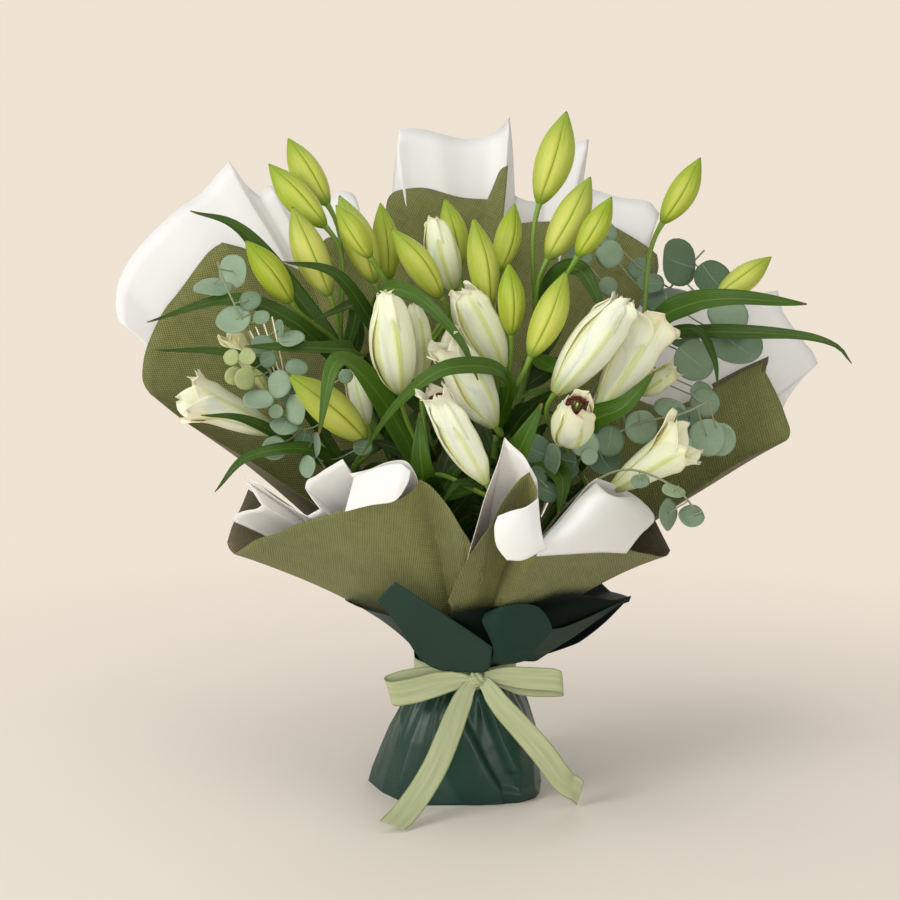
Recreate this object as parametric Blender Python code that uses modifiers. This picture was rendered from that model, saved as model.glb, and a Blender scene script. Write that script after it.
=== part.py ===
"""A hand-tied bouquet of white lilies, most of them in bud, standing upright in its base wrap.

Seven lily stems and four eucalyptus sprigs cross in a tie and end in a water pouch. Five pairs of
paper sheets, one olive and one white in each, open round them like a fan. A dark green base wrap
covers the pouch, and a ribbon with a bow closes its neck.

Metres, +Z up, front towards -Y. The origin is on the table, under the middle of the base wrap.
The tables below give sizes and places in millimetres.
"""

import math
from dataclasses import dataclass

import bmesh
import bpy
import numpy as np
from mathutils import Matrix, Vector

MM = 0.001
GAP = 0.3  # between pieces that touch

# The neck, where stems, sheets and base wrap are gathered
NECK_X = 10
NECK_HEIGHT = 122
NECK_RADIUS = 49.5
BAND_WIDTH = 20
SHEET_NECK_RADIUS = 26  # of the innermost sheet
SHEET_NECK_STEP = 1.9  # from each sheet to the next one out
SHEET_LIFT = 0.8  # how far a sheet's middle rises over that of the next one out
SHEET_FOOT = 106
SHEET_BEND = 134  # where the sheets leave the neck
SHEET_THICKNESS = 0.8

# Stems, twigs, leaves and heads
STEM_RADIUS = 4.5
STEM_STEPS = 6
FORK_RADIUS = 3.4
FORK_BEND = (4, -4, -8)  # how far a fork's middle is bent out of its straight line
STEM_FOOT = 12
STEM_SPLAY = 1.35  # how far the cut ends spread below the tie
STEM_TWIST = 35  # degrees of spiral below the tie
BUNDLE_RADIUS = 12.5
TIE_SLACK = 1.2
TWIG_RADIUS = 2
TWIG_STEPS = 10
TWIG_SHARED = 3  # the first steps of a twig's upper part, which its lower part already covers
TWIG_BUNDLE_RADIUS = 19.5
PEDICEL_RADIUS = 2.2
PEDICEL_STEPS = 5
PEDICEL_STRAIGHT = 5  # the length below the head that runs along the head's axis
LEAF_THICKNESS = 0.9
LEAF_STEPS = 8
LEAF_FACING = (0, -0.35, 1)
LEAF_KEEL = 0.25  # depth of the midrib below the edges, as a share of half the width
LEAF_SPAN = (0.06, 0.98)  # the part of a sine arch that the width follows from foot to tip
LEAF_LEAN = 0.75  # below 1, the widest place is nearer the foot
LEAF_FULLNESS = 0.9
DISC_THICKNESS = 1.0
DISC_SIDES = 8
DISC_FACING = (0, -1, 0.5)
STALK_RADIUS = 1.1
HEAD_STEPS = 8
TIE_THICKNESS = 1.5
TIE_HEIGHT = 8
TURN_STEPS = 24  # of the tie and the pouch

# The water pouch and the base wrap
POUCH_X = 5
POUCH_PROFILE = (  # radius, height: from the inner lip over the outside to the middle of its well
    (31, 96), (36, 96), (54, 58), (58, 12), (55, 3), (0, 3), (0, 9), (29, 9), (31, 12), (31, 96),
)
WRAP_THICKNESS = 1.0
WRAP_COLUMNS = 32
FOOT_OUTLINE = (  # azimuth in degrees, radius
    (0, 85), (32, 90), (62, 76), (90, 70), (118, 76), (150, 86), (180, 87), (208, 80), (238, 72),
    (262, 69), (290, 70), (325, 86),
)
WRAP_LEVELS = (  # height, share of the way from the foot's outline to the neck's circle
    (22, 0.04), (58, 0.40), (92, 0.84), (110, 1.0), (133, 1.0),
)
COLLAR_RIM = (  # azimuth in degrees, radius, height
    (0, 160, 190), (25, 142, 197), (60, 122, 202), (100, 104, 196), (145, 110, 190),
    (180, 130, 184), (208, 136, 188), (234, 144, 226), (252, 100, 188), (266, 74, 153),
    (290, 70, 144), (325, 92, 142), (345, 130, 165),
)

# Ribbon
RIBBON_WIDTH = 21
RIBBON_THICKNESS = 0.8
KNOT_SIZE = (24, 12, 20)
KNOT_CENTRE = (20, -58.2, 123)
KNOT_ROUNDING = 3
LOOP_STEPS = 15
TAIL_STEPS = 9
TAIL_FACING = (0, -0.6, 0.8)

# Profiles of a head: share of its length, share of its radius, from the tip down to the foot
BUD = ((1, 0), (0.95, 0.28), (0.80, 0.72), (0.55, 1), (0.30, 0.84), (0.10, 0.46), (0, 0.26), (0, 0))
CREAM = ((1, 0), (0.97, 0.45), (0.80, 0.84), (0.55, 1), (0.30, 0.82), (0.10, 0.44), (0, 0.22), (0, 0))
OPEN = ((0.97, 0), (1, 0.75), (0.88, 1), (0.62, 0.80), (0.35, 0.56), (0.12, 0.36), (0, 0.2), (0, 0))


@dataclass(frozen=True)
class Head:
    """A flower head, from the foot where its pedicel ends to its tip."""

    foot: tuple
    tip: tuple
    width: float
    profile: tuple


@dataclass(frozen=True)
class Stem:
    """A lily stem: its place in the tie, its crown and what grows from it."""

    azimuth: float
    crown: tuple
    heads: tuple
    leaves: tuple
    fork: tuple = ()
    fork_heads: tuple = ()


@dataclass(frozen=True)
class Sprig:
    """A eucalyptus sprig: its place in the tie, its twig and the round leaves (centre, radius)."""

    azimuth: float
    twig: tuple
    discs: tuple


@dataclass(frozen=True)
class Sheet:
    """A sheet of wrapping paper: its layer, from the innermost one out, and the corners of its rim."""

    layer: int
    rim: tuple
    material: str


HEADS = {
    "lily_bud_01": Head((-125, 60, 570), (-165, 80, 635), 31, BUD),
    "lily_bud_02": Head((-125, 25, 550), (-180, 35, 610), 30, BUD),
    "lily_bud_03": Head((-120, 0, 485), (-155, 0, 570), 33, BUD),
    "lily_bud_04": Head((-155, -20, 480), (-195, -45, 540), 28, BUD),
    "lily_bud_05": Head((-80, -12, 522), (-112, -22, 572), 24, BUD),
    "lily_bud_06": Head((-78, 30, 495), (-112, 30, 580), 32, BUD),
    "lily_bud_07": Head((-66, 70, 495), (-74, 75, 572), 27, BUD),
    "lily_bud_08": Head((-13, -12, 484), (-60, -24, 550), 28, BUD),
    "lily_bud_09": Head((5, 68, 508), (-10, 72, 576), 27, BUD),
    "lily_bud_10": Head((32, -20, 474), (17, -22, 560), 29, BUD),
    "lily_bud_11": Head((42, 34, 506), (58, 40, 572), 26, BUD),
    "lily_bud_12": Head((52, -54, 452), (49, -60, 520), 26, BUD),
    "lily_bud_13": Head((81, 22, 572), (107, 32, 660), 36, BUD),
    "lily_bud_14": Head((88, 0, 520), (129, 10, 598), 33, BUD),
    "lily_bud_15": Head((114, -34, 524), (145, -40, 580), 25, BUD),
    "lily_bud_16": Head((68, -92, 436), (100, -92, 514), 30, BUD),
    "lily_bud_17": Head((198, 10, 554), (232, 0, 616), 27, BUD),
    "lily_bud_18": Head((254, 30, 481), (307, 30, 521), 26, BUD),
    "lily_bud_19": Head((-83, -82, 358), (-148, -140, 426), 34, BUD),
    "cream_lily_01": Head((-2, 30, 489), (-21, 36, 558), 33, CREAM),
    "cream_lily_02": Head((-51, -92, 404), (-62, -112, 496), 42, CREAM),
    "cream_lily_03": Head((-33, -58, 410), (-38, -66, 484), 26, CREAM),
    "cream_lily_04": Head((27, -150, 330), (-20, -166, 415), 33, CREAM),
    "cream_lily_05": Head((36, -88, 372), (-11, -110, 454), 40, CREAM),
    "cream_lily_06": Head((44, -48, 418), (4, -46, 495), 40, CREAM),
    "open_lily_01": Head((91, -92, 403), (154, -94, 488), 41, OPEN),
    "open_lily_02": Head((133, -76, 384), (186, -60, 470), 48, OPEN),
    "open_lily_03": Head((101, -122, 362), (106, -180, 408), 36, OPEN),
    "open_lily_04": Head((-171, -40, 360), (-244, -60, 396), 38, OPEN),
    "open_lily_05": Head((143, -112, 318), (203, -132, 364), 38, OPEN),
}

# Leaves are (route from the stem to the tip, greatest width)
STEMS = {
    "lily_stem_left_back": Stem(
        165, (-108, 16, 430),
        ("lily_bud_01", "lily_bud_02", "lily_bud_03", "lily_bud_04"),
        (
            (((-104, 16, 420), (-150, 22, 480), (-205, 10, 548), (-252, 0, 566)), 20),
            (((-104, 14, 410), (-150, -30, 462), (-208, -46, 486), (-286, -58, 465)), 15),
        ),
    ),
    "lily_stem_left_front": Stem(
        212, (-98, -44, 318),
        ("lily_bud_19", "open_lily_04"),
        (
            (((-94, -42, 312), (-130, -100, 352), (-186, -122, 350), (-217, -128, 318)), 14),
            (((-96, -43, 314), (-150, -62, 398), (-200, -70, 436), (-278, -84, 442)), 12),
        ),
    ),
    "lily_stem_back": Stem(
        110, (-36, 26, 410),
        ("lily_bud_05", "lily_bud_06", "lily_bud_07", "lily_bud_08", "cream_lily_01", "lily_bud_09"),
        (
            (((-36, 24, 402), (-72, -14, 452), (-110, -42, 508), (-160, -56, 521)), 18),
        ),
    ),
    "lily_stem_front": Stem(
        262, (-22, -64, 318),
        ("cream_lily_02", "cream_lily_03", "cream_lily_04"),
        (
            (((-24, -64, 312), (-71, -101, 394), (-104, -150, 440), (-120, -164, 376)), 26),
            (((-22, -66, 312), (-34, -126, 388), (-32, -156, 366), (-31, -154, 330)), 24),
        ),
    ),
    "lily_stem_centre": Stem(
        312, (40, -34, 360),
        ("lily_bud_10", "lily_bud_11", "lily_bud_12", "lily_bud_16", "cream_lily_05", "cream_lily_06"),
        (
            (((40, -36, 352), (68, -96, 352), (56, -138, 396), (62, -172, 366)), 24),
        ),
    ),
    "lily_stem_right_back": Stem(
        58, (76, 22, 440),
        ("lily_bud_13", "lily_bud_14", "lily_bud_15"),
        (
            (((78, 20, 430), (96, 0, 500), (118, -30, 512), (142, -48, 466)), 25),
        ),
    ),
    "lily_stem_right": Stem(
        8, (112, -34, 318),
        ("open_lily_01", "open_lily_02", "open_lily_03", "open_lily_05"),
        (
            (((178, 8, 448), (210, -20, 476), (250, -52, 488), (325, -60, 482)), 24),
            (((176, 6, 440), (230, -10, 452), (310, -56, 454), (360, -88, 433)), 15),
        ),
        fork=(178, 10, 440),
        fork_heads=("lily_bud_17", "lily_bud_18"),
    ),
}

SPRIGS = {
    "eucalyptus_left": Sprig(
        188, ((-70, -20, 250), (-122, -66, 330), (-160, -76, 400), (-206, -56, 484), (-222, -40, 520)),
        (
            ((-216, -62, 508), 16), ((-238, -40, 494), 14), ((-218, -84, 462), 15),
            ((-162, -96, 440), 14), ((-206, -96, 414), 13), ((-172, -104, 398), 14),
            ((-158, -112, 362), 13), ((-134, -90, 326), 13),
        ),
    ),
    "eucalyptus_right_high": Sprig(
        33, ((70, 10, 260), (130, 34, 380), (180, 50, 450), (222, 58, 500), (246, 60, 526)),
        (
            ((222, 44, 516), 18), ((256, 50, 504), 15), ((206, 30, 484), 15), ((150, 30, 506), 16),
            ((266, 24, 466), 20), ((272, 18, 430), 20), ((232, 10, 420), 22),
        ),
    ),
    "eucalyptus_right_low": Sprig(
        338, ((70, -40, 250), (112, -80, 336), (160, -92, 372), (206, -94, 384), (232, -92, 396)),
        (
            ((236, -92, 400), 15), ((234, -104, 366), 19), ((204, -98, 354), 15),
            ((172, -102, 372), 14), ((200, -86, 392), 14), ((118, -110, 356), 12),
        ),
    ),
    "eucalyptus_front": Sprig(
        287, ((48, -60, 210), (98, -116, 300), (146, -142, 340), (190, -158, 330), (214, -166, 306)),
        (
            ((186, -164, 304), 13), ((210, -172, 288), 12), ((198, -146, 328), 12),
        ),
    ),
}

SHEETS = {
    "wrap_back_centre_olive": Sheet(
        0,
        ((188, 146, 460), (203, 150, 483), (211, 154, 510), (197, 158, 527), (151, 163, 550), (82, 166, 551),
         (69, 160, 487), (53, 164, 530), (51, 168, 605), (36, 174, 580), (0, 170, 578), (-41, 164, 585),
         (-70, 154, 573), (-77, 142, 533), (-131, 124, 534), (-146, 108, 480)),
        "olive paper",
    ),
    "wrap_back_centre_white": Sheet(
        1,
        ((205, 170, 469), (208, 178, 512), (215, 188, 559), (196, 192, 573), (137, 196, 585), (136, 198, 634),
         (110, 200, 615), (85, 200, 572), (64, 198, 579), (56, 200, 657), (37, 206, 640), (-15, 196, 641),
         (-60, 186, 643), (-66, 172, 583), (-72, 146, 500)),
        "white paper",
    ),
    "wrap_back_left_olive": Sheet(
        2,
        ((-72, 128, 455), (-138, 118, 491), (-236, 104, 531), (-276, 86, 485), (-301, 58, 442),
         (-306, 24, 406), (-295, 2, 390), (-204, -49, 334), (-130, -80, 291)),
        "olive paper",
    ),
    "wrap_back_left_white": Sheet(
        3,
        ((-65, 158, 470), (-99, 168, 559), (-113, 170, 581), (-148, 166, 568), (-189, 162, 589),
         (-200, 158, 579), (-230, 154, 613), (-281, 130, 566), (-328, 100, 516), (-338, 78, 486),
         (-334, 56, 456)),
        "white paper",
    ),
    "wrap_right_olive": Sheet(
        4,
        ((190, -74, 285), (230, -58, 307), (313, -12, 345), (325, 6, 355), (318, 36, 384), (309, 58, 418),
         (262, 60, 389), (206, 70, 369), (170, 108, 380)),
        "olive paper",
    ),
    "wrap_right_white": Sheet(
        5,
        ((326, 60, 368), (367, 94, 411), (351, 112, 439), (335, 120, 465), (331, 124, 482), (289, 136, 473),
         (246, 152, 482), (222, 158, 439)),
        "white paper",
    ),
    "wrap_front_left_white": Sheet(
        6,
        ((-215, -22, 270), (-198, -47, 312), (-176, -79, 312), (-135, -115, 297), (-126, -123, 332),
         (-101, -144, 350), (-94, -150, 338), (-62, -168, 351), (-41, -172, 350), (-26, -168, 322)),
        "white paper",
    ),
    "wrap_front_left_olive": Sheet(
        7,
        ((-206, 36, 290), (-217, -6, 262), (-221, -18, 245), (-187, -67, 261), (-142, -116, 287),
         (-84, -163, 313), (-47, -180, 322), (-31, -184, 338), (-7, -179, 314), (14, -150, 274)),
        "olive paper",
    ),
    "wrap_front_right_white": Sheet(
        8,
        ((16, -172, 285), (26, -182, 325), (42, -190, 370), (64, -192, 350), (74, -187, 290), (107, -162, 317),
         (127, -144, 330), (155, -115, 313), (184, -78, 286)),
        "white paper",
    ),
    "wrap_front_right_olive": Sheet(
        9,
        ((12, -176, 265), (22, -190, 290), (38, -198, 319), (63, -202, 346), (72, -200, 286),
         (119, -162, 272), (170, -106, 254), (201, -51, 240), (208, -20, 241)),
        "olive paper",
    ),
}

# Ribbon routes: the middle line of each strip
LOOP_LEFT = ((6.6, -54, 123), (-20, -53, 121), (-52, -51, 116), (-69, -58, 112), (-54, -69, 114),
             (-20, -70, 119), (6.6, -62, 123))
LOOP_RIGHT = ((33.4, -54, 123), (60, -51, 126), (94, -48, 131), (110, -55, 134), (95, -65, 132),
              (60, -68, 127), (33.4, -62, 123))
TAIL_LEFT = ((11, -66, 108), (-4, -79, 84), (-32, -112, 38), (-54, -138, 12), (-62, -150, 7))
TAIL_RIGHT = ((24, -57, 106), (48, -66, 82), (86, -68, 38), (112, -64, 12), (122, -61, 8))

COLOURS = {  # base colour, roughness
    "lily bud": ((0.47, 0.56, 0.10), 0.45),
    "lily petal": ((0.86, 0.84, 0.66), 0.45),
    "lily green": ((0.06, 0.16, 0.04), 0.40),
    "eucalyptus": ((0.22, 0.32, 0.25), 0.65),
    "olive paper": ((0.19, 0.21, 0.10), 0.80),
    "white paper": ((0.85, 0.85, 0.84), 0.60),
    "green wrap": ((0.012, 0.055, 0.042), 0.35),
    "sage ribbon": ((0.38, 0.44, 0.24), 0.40),
    "clear pouch": ((0.75, 0.82, 0.85), 0.15),
    "tie": ((0.75, 0.70, 0.55), 0.60),
}


# ---------------------------------------------------------------- helpers


def clear_scene():
    for obj in list(bpy.data.objects):
        bpy.data.objects.remove(obj, do_unlink=True)


def new_collection(name, hidden=False):
    collection = bpy.data.collections.new(name)
    collection.hide_render = hidden
    bpy.context.scene.collection.children.link(collection)
    return collection


def material(name):
    """The named material, made from COLOURS the first time it is asked for."""
    if name not in bpy.data.materials:
        colour, roughness = COLOURS[name]
        made = bpy.data.materials.new(name)
        made.use_nodes = True
        shader = made.node_tree.nodes["Principled BSDF"]
        shader.inputs["Base Color"].default_value = (*colour, 1)
        shader.inputs["Roughness"].default_value = roughness
        shader.inputs["Metallic"].default_value = 0
        made.diffuse_color = (*colour, 1)
    return bpy.data.materials[name]


def metres(point):
    return Vector(point) * MM


def add_object(name, mesh, collection, finish):
    obj = bpy.data.objects.new(name, mesh)
    collection.objects.link(obj)
    obj.data.materials.append(material(finish))
    return obj


def smooth_line(points, count):
    """count points, evenly spaced in chord length, on a Catmull-Rom curve through the given ones."""
    points = [Vector(p) for p in points]
    ends = [2 * points[0] - points[1], *points, 2 * points[-1] - points[-2]]
    chord = np.cumsum([0] + [(b - a).length for a, b in zip(points, points[1:])])
    line = []
    for along in np.linspace(0, float(chord[-1]), count).tolist():
        i = min(int(np.searchsorted(chord, along, side="right")) - 1, len(points) - 2)
        t = float((along - chord[i]) / (chord[i + 1] - chord[i]))
        a, b, c, d = ends[i : i + 4]
        line.append(
            0.5 * (2 * b + (c - a) * t + (2 * a - 5 * b + 4 * c - d) * t**2
                   + (3 * b - a - 3 * c + d) * t**3)
        )
    return line


def bezier(a, b, c, d, count):
    """count points on the Bezier curve from a to d that leaves towards b and arrives from c."""
    line = []
    for t in np.linspace(0, 1, count).tolist():
        s = 1 - t
        line.append(s**3 * a + 3 * s**2 * t * b + 3 * s * t**2 * c + t**3 * d)
    return line


def turned(name, profile, steps, collection, finish):
    """A solid turned round its own Z from a profile of (radius, height) in millimetres."""
    mesh = bpy.data.meshes.new(name)
    loop = profile[0] == profile[-1]
    points = [metres((radius, 0, height)) for radius, height in (profile[:-1] if loop else profile)]
    edges = [(i, i + 1) for i in range(len(points) - 1)]
    if loop:
        edges.append((len(points) - 1, 0))
    mesh.from_pydata(points, edges, [])
    obj = add_object(name, mesh, collection, finish)
    screw = obj.modifiers.new("turn", "SCREW")
    screw.steps = steps
    screw.render_steps = steps
    screw.use_merge_vertices = True
    screw.merge_threshold = 0.00001
    screw.use_smooth_shade = True
    return obj


def tube(name, line, radius, collection, finish):
    """A round bar along a line of points in millimetres, as a mesh with welded caps."""
    curve = bpy.data.curves.new(name, "CURVE")
    curve.dimensions = "3D"
    curve.bevel_depth = radius * MM
    curve.bevel_resolution = 1
    curve.use_fill_caps = True
    spline = curve.splines.new("POLY")
    spline.points.add(len(line) - 1)
    for point, place in zip(spline.points, line):
        point.co = (*metres(place), 1)
    guide = bpy.data.objects.new(name + "_guide", curve)
    collection.objects.link(guide)
    graph = bpy.context.evaluated_depsgraph_get()
    mesh = bpy.data.meshes.new_from_object(guide.evaluated_get(graph))
    bpy.data.objects.remove(guide)
    work = bmesh.new()
    work.from_mesh(mesh)
    bmesh.ops.remove_doubles(work, verts=work.verts, dist=0.00001)
    bmesh.ops.recalc_face_normals(work, faces=work.faces)
    work.to_mesh(mesh)
    work.free()
    mesh.name = name
    mesh.materials.clear()
    mesh.shade_smooth()
    return add_object(name, mesh, collection, finish)


def shell(name, rows, thickness, collection, finish, closed=False, middle=None):
    """A sheet through rows of points, given a thickness to both sides.

    Rows run from the lower to the upper edge. closed joins each row's ends, and middle is a
    point that the first row is filled to.
    """
    columns = len(rows[0])
    points = [metres(p) for row in rows for p in row]
    faces = []
    for r in range(len(rows) - 1):
        for c in range(columns if closed else columns - 1):
            a = r * columns + c
            b = r * columns + (c + 1) % columns
            faces.append((a, b, b + columns, a + columns))
    if middle:
        points.append(metres(middle))
        faces += [(len(points) - 1, (c + 1) % columns, c) for c in range(columns)]
    mesh = bpy.data.meshes.new(name)
    mesh.from_pydata(points, [], faces)
    mesh.shade_smooth()
    obj = add_object(name, mesh, collection, finish)
    wall = obj.modifiers.new("wall", "SOLIDIFY")
    wall.thickness = thickness * MM
    wall.offset = -1 if closed else 0
    return obj


def join(name, base, pieces):
    """Joins the helper solids to the base solid with one exact union."""
    helpers = new_collection(name + "_pieces", hidden=True)
    for piece in pieces:
        for holder in list(piece.users_collection):
            holder.objects.unlink(piece)
        helpers.objects.link(piece)
        piece.hide_render = True
        piece.display_type = "WIRE"
    union = base.modifiers.new("grown together", "BOOLEAN")
    union.operation = "UNION"
    union.operand_type = "COLLECTION"
    union.collection = helpers
    union.solver = "EXACT"


def strip_rows(line, width, facing):
    """The two long edges of a flat strip whose face looks towards facing."""
    left, right = [], []
    for i, point in enumerate(line):
        along = line[min(i + 1, len(line) - 1)] - line[max(i - 1, 0)]
        across = along.cross(Vector(facing)).normalized() * width / 2
        left.append(point - across)
        right.append(point + across)
    return [left, right]


# ---------------------------------------------------------------- flowers and stems


def build_head(name, head, collection):
    foot, tip = Vector(head.foot), Vector(head.tip)
    length = (tip - foot).length
    profile = [(share * head.width / 2, along * length) for along, share in head.profile]
    finish = "lily bud" if head.profile is BUD else "lily petal"
    obj = turned(name, profile, HEAD_STEPS, collection, finish)
    obj.location = metres(foot)
    obj.rotation_mode = "QUATERNION"
    obj.rotation_quaternion = (tip - foot).to_track_quat("Z", "Y")


def bundle_line(azimuth, radius):
    """The spiral of a stem below the tie, from its cut end up to the tie."""
    line = []
    for share in (0, 0.5, 1):
        angle = math.radians(azimuth - STEM_TWIST * (1 - share))
        reach = radius * (STEM_SPLAY + (1 - STEM_SPLAY) * share)
        middle = POUCH_X + (NECK_X - POUCH_X) * share
        height = STEM_FOOT + (NECK_HEIGHT - STEM_FOOT) * share
        line.append(Vector((middle + reach * math.cos(angle), reach * math.sin(angle), height)))
    return line


def stem_line(azimuth, bundle_radius, crown):
    """A stem from its cut end through the tie to its crown."""
    below = bundle_line(azimuth, bundle_radius)
    crown = Vector(crown)
    reach = (crown - below[-1]).length / 3
    leaving = (below[-1] - below[-2]).normalized() * reach
    arriving = (crown - below[-1]).normalized() * reach
    above = bezier(below[-1], below[-1] + leaving, crown - arriving, crown, STEM_STEPS)
    return below[:-1] + above


def pedicel_line(start, heading, head):
    """From inside the crown to just short of the head's foot, arriving along the head's axis."""
    foot, tip = Vector(head.foot), Vector(head.tip)
    axis = (tip - foot).normalized()
    end = foot - axis * PEDICEL_STRAIGHT
    reach = (end - start).length / 3
    line = bezier(start, start + heading * reach, end - axis * reach, end, PEDICEL_STEPS)
    return [*line, foot - axis * GAP]


def leaf_blade(name, route, width, collection):
    """A narrow blade with a keel along its midrib, widest a third of the way up."""
    line = smooth_line(route, LEAF_STEPS)
    sides, keel = strip_rows(line, 1, LEAF_FACING), []
    first, last = LEAF_SPAN
    for i, middle in enumerate(line):
        arch = first + (last - first) * i / (LEAF_STEPS - 1)
        half = 0.5 * width * math.sin(math.pi * arch**LEAF_LEAN) ** LEAF_FULLNESS
        across = sides[1][i] - sides[0][i]
        sides[0][i] = middle - across * half
        sides[1][i] = middle + across * half
        keel.append(middle - Vector((0, 0, LEAF_KEEL * half)))
    return shell(name, [sides[0], keel, sides[1]], LEAF_THICKNESS, collection, "lily green")


def pedicels(name, end, heading, heads, collection):
    """One pedicel to each of the heads, from just inside the end of a stem or a fork."""
    start = end - heading * STEM_RADIUS
    grown = []
    for head in heads:
        route = pedicel_line(start, heading, HEADS[head])
        grown.append(tube(f"{name}_to_{head}", route, PEDICEL_RADIUS, collection, "lily green"))
    return grown


def build_stem(name, stem, collection):
    line = stem_line(stem.azimuth, BUNDLE_RADIUS, stem.crown)
    base = tube(name, line, STEM_RADIUS, collection, "lily green")
    heading = (line[-1] - line[-2]).normalized()
    grown = pedicels(name, line[-1], heading, stem.heads, collection)
    if stem.fork:
        end = Vector(stem.fork)
        bend = (line[-1] + end) / 2 + Vector(FORK_BEND)
        route = smooth_line((line[-1] - heading * STEM_RADIUS, bend, end), PEDICEL_STEPS)
        grown.append(tube(f"{name}_fork", route, FORK_RADIUS, collection, "lily green"))
        heading = (route[-1] - route[-2]).normalized()
        grown += pedicels(name, end, heading, stem.fork_heads, collection)
    for number, (route, width) in enumerate(stem.leaves, 1):
        grown.append(leaf_blade(f"{name}_leaf_{number}", route, width, collection))
    join(name, base, grown)


def leaf_disc(name, centre, reach, radius, collection):
    """A round leaf on a stalk that reaches it along reach, turned towards DISC_FACING."""
    facing = Vector(DISC_FACING)
    facing = (facing - reach * reach.dot(facing)).normalized()
    turn = facing.to_track_quat("Z", "Y").to_matrix().to_4x4()
    work = bmesh.new()
    bmesh.ops.create_cone(
        work, cap_ends=True, segments=DISC_SIDES, radius1=radius * MM, radius2=radius * MM,
        depth=DISC_THICKNESS * MM, matrix=Matrix.Translation(metres(centre)) @ turn,
    )
    mesh = bpy.data.meshes.new(name)
    work.to_mesh(mesh)
    work.free()
    return add_object(name, mesh, collection, "eucalyptus")


def build_sprig(name, sprig, collection):
    twig = stem_line(sprig.azimuth, TWIG_BUNDLE_RADIUS, sprig.twig[0])
    twig += smooth_line([twig[-2], *sprig.twig], TWIG_STEPS)[TWIG_SHARED:]
    base = tube(name, twig, TWIG_RADIUS, collection, "eucalyptus")
    grown = []
    for number, (centre, radius) in enumerate(sprig.discs, 1):
        centre = Vector(centre)
        node = min(twig, key=lambda point: (point - centre).length)
        grown += [
            tube(f"{name}_stalk_{number}", [node, centre], STALK_RADIUS, collection, "eucalyptus"),
            leaf_disc(f"{name}_leaf_{number}", centre, (centre - node).normalized(), radius, collection),
        ]
    join(name, base, grown)


# ---------------------------------------------------------------- tie, pouch and wraps


def ring(name, inner, thickness, low, high, steps, collection, finish):
    """A flat band round the neck."""
    outer = inner + thickness
    profile = [(inner, high), (outer, high), (outer, low), (inner, low), (inner, high)]
    obj = turned(name, profile, steps, collection, finish)
    obj.location = metres((NECK_X, 0, 0))


def build_tie(collection):
    inner = TWIG_BUNDLE_RADIUS + TWIG_RADIUS + TIE_SLACK
    low, high = NECK_HEIGHT - TIE_HEIGHT / 2, NECK_HEIGHT + TIE_HEIGHT / 2
    ring("stem_tie", inner, TIE_THICKNESS, low, high, TURN_STEPS, collection, "tie")


def build_pouch(collection):
    obj = turned("water_pouch", list(POUCH_PROFILE), TURN_STEPS, collection, "clear pouch")
    obj.location = metres((POUCH_X, 0, 0))


def build_sheet(name, sheet, collection):
    """A sheet that stands straight in the neck and opens from there to the corners of its rim.

    Each corner leaves the neck at its own azimuth, so that sheets that are nested in the neck stay
    nested up to their rims.
    """
    radius = SHEET_NECK_RADIUS + SHEET_NECK_STEP * sheet.layer
    rim = [Vector(corner) for corner in sheet.rim]
    azimuths = np.unwrap([math.atan2(corner.y, corner.x - NECK_X) for corner in rim])
    low, high = [], []
    for azimuth in azimuths.tolist():
        x, y = NECK_X + radius * math.cos(azimuth), radius * math.sin(azimuth)
        low.append(Vector((x, y, SHEET_FOOT)))
        high.append(Vector((x, y, SHEET_BEND)))
    lift = Vector((0, 0, SHEET_LIFT * (len(SHEETS) - 1 - sheet.layer)))
    middle = [(a + b) / 2 + lift for a, b in zip(high, rim)]
    shell(name, [low, high, middle, rim], SHEET_THICKNESS, collection, sheet.material)


def around(azimuths, table):
    """The columns after the first of a table of azimuths, read off at the given azimuths."""
    angles, *columns = zip(*table)
    return [np.interp(azimuths, angles, column, period=360).tolist() for column in columns]


def build_base_wrap(collection):
    """The gathered wrap: a flat foot, a bag up to the neck and a collar that opens above it."""
    azimuths = np.linspace(0, 360, WRAP_COLUMNS, endpoint=False)
    [foot] = around(azimuths, FOOT_OUTLINE)
    rim, top = around(azimuths, COLLAR_RIM)
    turns = [(math.cos(a), math.sin(a)) for a in np.radians(azimuths)]
    rows = [[(r * x, r * y, 0) for r, (x, y) in zip(foot, turns)]]
    for height, share in WRAP_LEVELS:
        reaches = [r + (NECK_RADIUS - r) * share for r in foot]
        rows.append([(share * NECK_X + r * x, r * y, height) for r, (x, y) in zip(reaches, turns)])
    rows.append([(NECK_X + r * x, r * y, z) for r, z, (x, y) in zip(rim, top, turns)])
    shell("base_wrap", rows, WRAP_THICKNESS, collection, "green wrap", closed=True, middle=(0, 0, 0))


# ---------------------------------------------------------------- ribbon


def build_knot(collection):
    """The knot: a small block with rounded edges."""
    work = bmesh.new()
    bmesh.ops.create_cube(work, size=MM)
    bmesh.ops.scale(work, vec=KNOT_SIZE, verts=work.verts)
    mesh = bpy.data.meshes.new("ribbon_knot")
    work.to_mesh(mesh)
    work.free()
    knot = add_object("ribbon_knot", mesh, collection, "sage ribbon")
    knot.location = metres(KNOT_CENTRE)
    rounding = knot.modifiers.new("rounding", "BEVEL")
    rounding.width = KNOT_ROUNDING * MM
    rounding.segments = 2


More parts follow.
